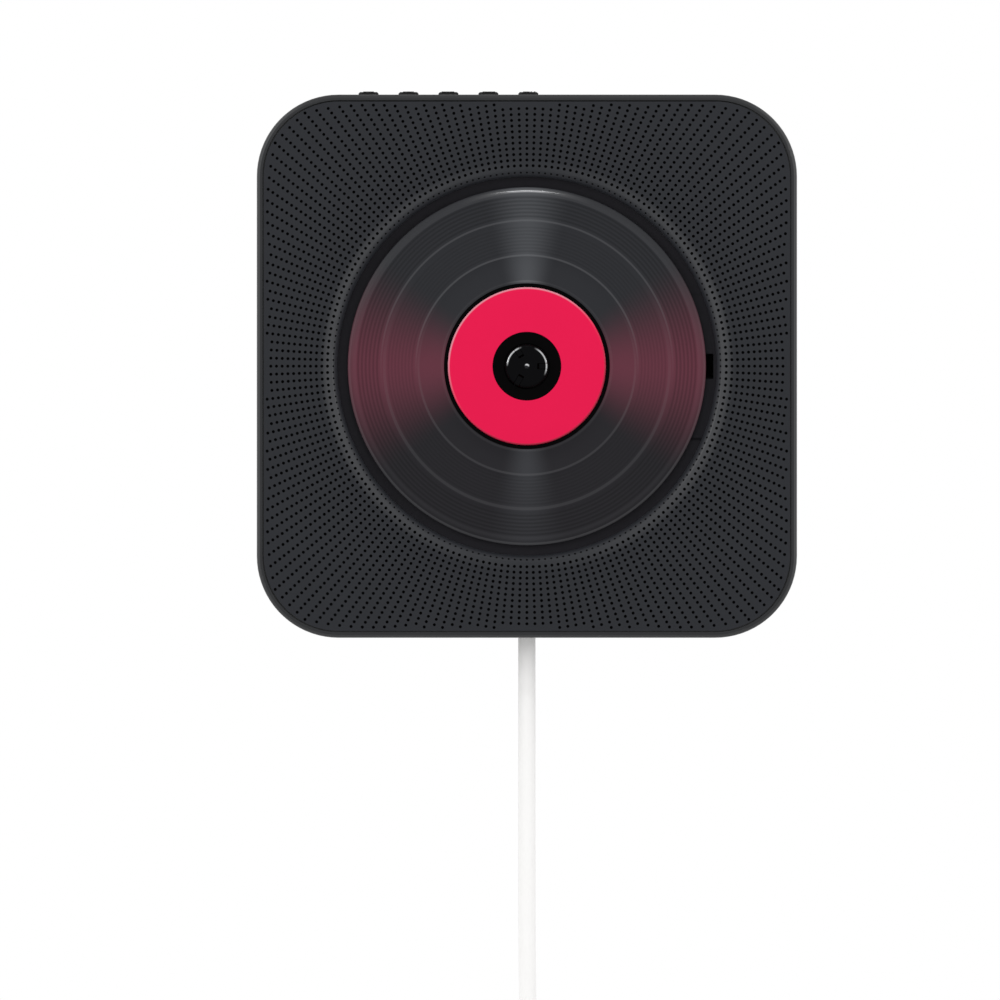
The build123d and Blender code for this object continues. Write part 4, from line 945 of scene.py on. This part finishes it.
def grooved_disc():
    """The disc: a bevelled bore, a sunk ring round the label, ridges, bands of grooves, a sloped edge."""
    shape = turned(
        [
            (DISC_BORE_RADIUS + DISC_BEVEL, DISC_UNDERSIDE),
            (DISC_BORE_RADIUS, DISC_UNDERSIDE + DISC_BEVEL),
            (DISC_BORE_RADIUS, DISC_TOP - DISC_BEVEL),
            (DISC_BORE_RADIUS + DISC_BEVEL, DISC_TOP),
            (LABEL_OUTER_RADIUS, DISC_TOP),
            (LABEL_OUTER_RADIUS + SUNK_RING_SLOPE, DISC_TOP - SUNK_RING_SINK),
            (SUNK_RING_OUTER - SUNK_RING_SLOPE, DISC_TOP - SUNK_RING_SINK),
            (SUNK_RING_OUTER, DISC_TOP),
            *on_disc(ridge(*INNER_RIDGE)),
            *on_disc(ridge(*OUTER_RIDGE)),
            *on_disc(grooves(*FINE_GROOVES, FINE_GROOVE_SINK)),
            *on_disc(MIDDLE_RIDGE),
            *on_disc(grooves(*COARSE_GROOVES, COARSE_GROOVE_SINK)),
            *on_disc(DISC_EDGE),
            (DISC_RADIUS, DISC_UNDERSIDE + DISC_BEVEL),
            (DISC_RADIUS - DISC_BEVEL, DISC_UNDERSIDE),
        ],
        DISC_STEPS,
    )
    # The clear centre and the sunk ring take the second, black finish; in the sunk ring that black is
    # painted shade.
    for face in shape.faces:
        middle = face.calc_center_median() / MM
        radius = sqrt(middle.x**2 + middle.z**2)
        if radius < CLEAR_CENTRE_RADIUS or LABEL_OUTER_RADIUS < radius < SUNK_RING_OUTER:
            face.material_index = 1
    return shape


def bare_label():
    """The label: a thin ring with a rolled outer edge and a crisp inner one."""
    rolled = rounded(
        LABEL_OUTER_RADIUS - LABEL_ROUND, LABEL_TOP - LABEL_ROUND, LABEL_ROUND, range(90, -1, -15)
    )
    return turned(
        [
            (LABEL_INNER_RADIUS, DISC_TOP),
            (LABEL_INNER_RADIUS, LABEL_TOP - LABEL_CRISP_EDGE),
            (LABEL_INNER_RADIUS + LABEL_CRISP_EDGE, LABEL_TOP),
            (LABEL_MIDDLE_RADIUS, LABEL_TOP),
            *rolled,
        ],
        LABEL_STEPS,
    )


def copy_of(node):
    """A shape to work on from a CAD node: its loose triangles joined, and its flat faces made whole."""
    shape = bmesh.new()
    shape.from_mesh(nodes[node].data)
    bmesh.ops.remove_doubles(shape, verts=shape.verts, dist=SAME_CAD_POINT)
    bmesh.ops.dissolve_limit(
        shape,
        angle_limit=radians(FLAT_ANGLE),
        use_dissolve_boundaries=False,
        verts=shape.verts,
        edges=shape.edges,
    )
    return shape


def rounded_hub():
    """The turntable with its hub's bevel made round."""
    shape = copy_of("turntable")
    low_radius, high_radius = HUB_BEVEL_RADII
    bevel_edges = []
    for edge in shape.edges:
        ends = [vert.co / MM for vert in edge.verts]
        radii = [sqrt(end.x**2 + end.z**2) for end in ends]
        on_bevel = low_radius < min(radii) and max(radii) < high_radius
        in_front = max(end.y for end in ends) < -HUB_BEVEL_DEPTH
        level = abs(ends[0].y - ends[1].y) < SAME_LEVEL
        if on_bevel and in_front and level and not edge.is_boundary:
            bevel_edges.append(edge)
    bmesh.ops.bevel(
        shape,
        geom=bevel_edges,
        offset=HUB_BEVEL_ROUND * MM,
        offset_type="OFFSET",
        affect="EDGES",
        segments=3,
        profile=0.5,
        material=-1,
        clamp_overlap=True,
    )
    return shape


def flat_bar(shape, x, y, width, length):
    """A bar of a key's mark, lying flat."""
    drawn = bmesh.ops.create_grid(shape, x_segments=1, y_segments=1, size=0.5)["verts"]
    bmesh.ops.scale(shape, verts=drawn, vec=(width, length, 1))
    bmesh.ops.translate(shape, verts=drawn, vec=(x, y, 0))


def flat_arrow(shape, x, y, reach, way):
    """A triangle of a key's mark, lying flat, which points right where way is 1 and left where it is -1."""
    drawn = bmesh.ops.create_circle(shape, cap_ends=True, segments=3, radius=reach)["verts"]
    turn = Matrix.Rotation(-way * pi / 2, 3, "Z")
    bmesh.ops.rotate(shape, verts=drawn, cent=(0, 0, 0), matrix=turn)
    bmesh.ops.translate(shape, verts=drawn, vec=(x, y, 0))


def key_mark(key):
    """The raised mark on a key's top."""
    shape = bmesh.new()
    for kind, *where in KEY_MARKS[key]:
        if kind == "bar":
            flat_bar(shape, *where)
        else:
            flat_arrow(shape, *where)
    raised = bmesh.ops.extrude_face_region(shape, geom=shape.faces[:])["geom"]
    tops = [part for part in raised if isinstance(part, bmesh.types.BMVert)]
    bmesh.ops.translate(shape, verts=tops, vec=(0, 0, MARK_HEIGHT + MARK_ROOT))
    bmesh.ops.recalc_face_normals(shape, faces=shape.faces)
    low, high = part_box(key)
    middle = (low + high) / 2
    bmesh.ops.scale(shape, verts=shape.verts, vec=(MM, MM, MM))
    bmesh.ops.translate(shape, verts=shape.verts, vec=(middle.x, middle.y, high.z - MARK_ROOT * MM))
    return shape


def cross_outline(shape, reach, half_width, depth):
    """The edges round a cross recess about the disc's axis, from its twelve corners."""
    corners = []
    for quarter in range(4):
        turn = Matrix.Rotation(-quarter * pi / 2, 3, "Y")
        for out, up in ((half_width, -half_width), (reach, -half_width), (reach, half_width)):
            corners.append(shape.verts.new(turn @ at(out, depth, up)))
    return [shape.edges.new(pair) for pair in zip(corners, corners[1:] + corners[:1])]


def rear_screws():
    """The four screws of the back cover: a pointed shank, a domed head and a cross recess, made once on the
    disc's axis and then moved to one corner and mirrored to the others."""
    low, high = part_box("rear_screws")
    top, tip = -high.y / MM, -low.y / MM
    head = [(radius, top + below) for radius, below in REAR_HEAD]
    point = [(REAR_TIP_RADIUS, tip), (REAR_SHANK_RADIUS, tip - REAR_TIP_LENGTH)]
    shape = turned([*point, (REAR_SHANK_RADIUS, head[0][1]), *head], REAR_SCREW_SIDES, closed=False)
    halfway = (low.y + high.y) / 2
    rim = [edge for edge in shape.edges if edge.is_boundary and edge.verts[0].co.y > halfway]
    mouth = cross_outline(shape, *CROSS_MOUTH, top)
    foot = cross_outline(shape, *CROSS_FOOT, top + CROSS_SINK)
    bmesh.ops.triangle_fill(shape, edges=rim + mouth, use_beauty=True)
    bmesh.ops.bridge_loops(shape, edges=mouth + foot)
    bmesh.ops.holes_fill(shape, edges=[edge for edge in shape.edges if edge.is_boundary])
    bmesh.ops.translate(shape, verts=shape.verts, vec=at(REAR_SCREW_X, 0, REAR_SCREW_Z))
    for axis in ("X", "Z"):
        whole = shape.verts[:] + shape.edges[:] + shape.faces[:]
        bmesh.ops.mirror(shape, geom=whole, merge_dist=0, axis=axis)
    bmesh.ops.recalc_face_normals(shape, faces=shape.faces)
    return shape


def return_spring():
    """The spring round the cord: round wire with a closed turn at each end and open turns between."""
    low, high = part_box("pull_spring")
    open_rise = (high.z - low.z) / MM - SPRING_WIRE - 2 * SPRING_CLOSED_RISE
    shape = bmesh.new()
    end = bmesh.ops.create_circle(shape, segments=SPRING_SIDES, radius=SPRING_WIRE / 2 * MM)["verts"]
    upright = Matrix.Rotation(pi / 2, 3, "X") @ Matrix.Rotation(pi / 2, 3, "Z")
    bmesh.ops.rotate(shape, verts=end, cent=(0, 0, 0), matrix=upright)
    bottom = at(SPRING_RADIUS, CORD_DEPTH, low.z / MM + SPRING_WIRE / 2)
    bmesh.ops.translate(shape, verts=end, vec=bottom)
    wire = shape.verts[:] + shape.edges[:]
    for turns, rise in ((1, SPRING_CLOSED_RISE), (SPRING_OPEN_TURNS, open_rise), (1, SPRING_CLOSED_RISE)):
        steps = turns * SPRING_STEPS
        wire = bmesh.ops.spin(
            shape,
            geom=wire,
            cent=at(0, CORD_DEPTH, 0),
            axis=(0, 0, -1),
            dvec=at(0, 0, rise / steps),
            angle=turns * tau,
            steps=steps,
        )["geom_last"]
    bmesh.ops.holes_fill(shape, edges=[edge for edge in shape.edges if edge.is_boundary])
    bmesh.ops.recalc_face_normals(shape, faces=shape.faces)
    return shape


# ---------------------------------------------------------------- camera, cord, light and floor


def set_camera():
    """A camera straight in front of the player."""
    camera = bpy.data.cameras.new("camera")
    camera.sensor_width = SENSOR_WIDTH
    camera.lens = SENSOR_WIDTH * CAMERA_DISTANCE / (VIEW_WIDTH * MM)
    camera.clip_start = 1.0
    camera.clip_end = 100.0
    holder = bpy.data.objects.new("camera", camera)
    holder.location = at(VIEW_CENTRE_X, PANEL_FACE_DEPTH + CAMERA_DISTANCE / MM, VIEW_CENTRE_Z)
    holder.rotation_euler = (pi / 2, 0, 0)
    collection.objects.link(holder)
    bpy.context.scene.camera = holder


def coil_route():
    """The turns of the coil, clockwise from its right side. Each turn keeps its place in the bundle for
    most of its way and then moves over to the next: inwards at the back, then outwards in front."""
    places = [
        (COIL_PITCH, COIL_BACK),
        (0, COIL_BACK),
        (-COIL_PITCH, COIL_BACK),
        (-COIL_PITCH, COIL_FRONT),
        (0, COIL_FRONT),
        (COIL_PITCH, COIL_FRONT),
    ]
    spline_draws_in = 1 - (1 - cos(tau / COIL_POINTS)) / 4
    points = []
    for (offset, depth), (next_offset, next_depth) in zip(places, places[1:]):
        for k in range(COIL_POINTS):
            share = max(0.0, (k / COIL_POINTS - COIL_MOVES_OVER) / (1 - COIL_MOVES_OVER))
            bulge = sin(pi * share) * COIL_PITCH / 2 if next_depth != depth else 0.0
            radius = COIL_MEAN_RADIUS + offset + (next_offset - offset) * share - bulge
            turn = tau * k / COIL_POINTS
            points.append(
                (
                    COIL_CENTRE_X + radius / spline_draws_in * cos(turn),
                    depth + (next_depth - depth) * share,
                    COIL_CENTRE_Z - radius / spline_draws_in * sin(turn),
                )
            )
    return points


def hang_cord():
    """The pull cord: straight down from the slider, round its coil and out at the plug, on one curve."""
    right = COIL_CENTRE_X + COIL_MEAN_RADIUS + COIL_PITCH
    route = [
        (0, CORD_DEPTH, CORD_TOP),
        (0, CORD_DEPTH, CORD_TOP - 35),
        (0, CORD_DEPTH, -214),
        (1.2, 21.2, -230),
        (right, COIL_BACK, -247),
        *coil_route(),
        (right, COIL_FRONT, COIL_CENTRE_Z),
        (right, COIL_FRONT, -276),
        (0, CORD_DEPTH, -291),
        (0, CORD_DEPTH, TAIL_END),
    ]
    curve = bpy.data.curves.new("pull_lead", "CURVE")
    curve.dimensions = "3D"
    curve.bevel_depth = CORD_RADIUS * MM
    curve.bevel_resolution = 5
    curve.resolution_u = 8
    curve.use_fill_caps = True
    spline = curve.splines.new("NURBS")
    spline.points.add(len(route) - 1)
    for point, place in zip(spline.points, route):
        point.co = (*at(*place), 1)
    spline.order_u = 3
    spline.use_endpoint_u = True
    curve.materials.append(FINISHES["cord_jacket"])
    lead = bpy.data.objects.new("pull_lead", curve)
    collection.objects.link(lead)
    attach(lead, "pull")
    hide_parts("cord_drop", "cord_coil", "cord_tail")
    return lead


def light_room():
    """A white room, and three narrow soft boxes for the highlights."""
    scene = bpy.context.scene
    scene.view_settings.view_transform = "Standard"
    scene.world = bpy.data.worlds.new("white_room")
    scene.world.use_nodes = True
    recipe = Recipe(scene.world.node_tree)
    white = recipe.node("ShaderNodeBackground", None, {"Color": (1, 1, 1, 1), "Strength": 1.0})
    recipe.node("ShaderNodeOutputWorld", None, {0: white})
    for name, (place, (width, height), brightness) in LAMPS.items():
        lamp = bpy.data.lights.new(name, "AREA")
        lamp.shape = "RECTANGLE"
        lamp.size = width
        lamp.size_y = height
        lamp.energy = brightness * pi * width * height
        holder = bpy.data.objects.new(name, lamp)
        holder.location = place
        holder.rotation_euler = (-Vector(place)).to_track_quat("-Z", "Y").to_euler()
        holder.visible_camera = False
        collection.objects.link(holder)


def lay_floor():
    """A pale round floor under the plug, which fades out at its edge."""
    shape = bmesh.new()
    bmesh.ops.create_circle(shape, cap_ends=True, segments=96, radius=FLOOR_RADIUS)
    bmesh.ops.translate(shape, verts=shape.verts, vec=(0, 0, FLOOR_HEIGHT))
    mesh = bpy.data.meshes.new("floor")
    shape.to_mesh(mesh)
    shape.free()
    material, recipe = finish("pale_floor")
    x, y, _ = recipe.axes()
    fade_start, fade_end = FLOOR_FADES
    edge = recipe.fade((x * x + y * y) ** 0.5, fade_start / MM, fade_end / MM)
    tone = recipe.mix(recipe.noise(60.0), paint(238, 238, 237), paint(232, 232, 232))
    surface = recipe.node("ShaderNodeBsdfPrincipled", None, {"Base Color": tone, "Roughness": 0.9})
    clear = recipe.node("ShaderNodeBsdfTransparent")
    faded = recipe.node("ShaderNodeMixShader", None, {0: edge, 1: surface, 2: clear})
    recipe.node("ShaderNodeOutputMaterial", None, {0: faded})
    mesh.materials.append(material)
    floor = bpy.data.objects.new("floor", mesh)
    collection.objects.link(floor)


set_camera()
lead = hang_cord()
light_room()
lay_floor()

for node in nodes.values():
    for place in node.material_slots:
        place.material = FINISHES[place.material.name.split(".")[0]]
nodes["spindle_shaft"].material_slots[0].material = DARK_STEEL

tuple(at(0, CORD_DEPTH, CORD_TOP))

finished(
    "grille_panel",
    perforated_panel(),
    [FINISHES["panel_plastic"], HOLE_PAINTED_SHADE],
    "player",
    ["front_panel"],
)
finished(
    "grooved_disc",
    grooved_disc(),
    [FINISHES["disc_plastic"], DISC_BLACK],
    "disc",
    ["compact_disc"],
)
finished("bare_label", bare_label(), [FINISHES["label_print"]], "disc", ["disc_label"])
finished("rounded_hub", rounded_hub(), [FINISHES["hub_plastic"]], "spindle", ["turntable"])
for key in KEY_MARKS:
    mark = key.replace("key_", "mark_")
    finished(mark, key_mark(key), [KEY_MARK], f"{key}_cap")

finished("cross_screws", rear_screws(), [FINISHES["zinc_steel"]], "player", ["rear_screws"])
spring = finished(
    "return_spring", return_spring(), [FINISHES["bright_steel"]], None, ["pull_spring"]
)
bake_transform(spring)
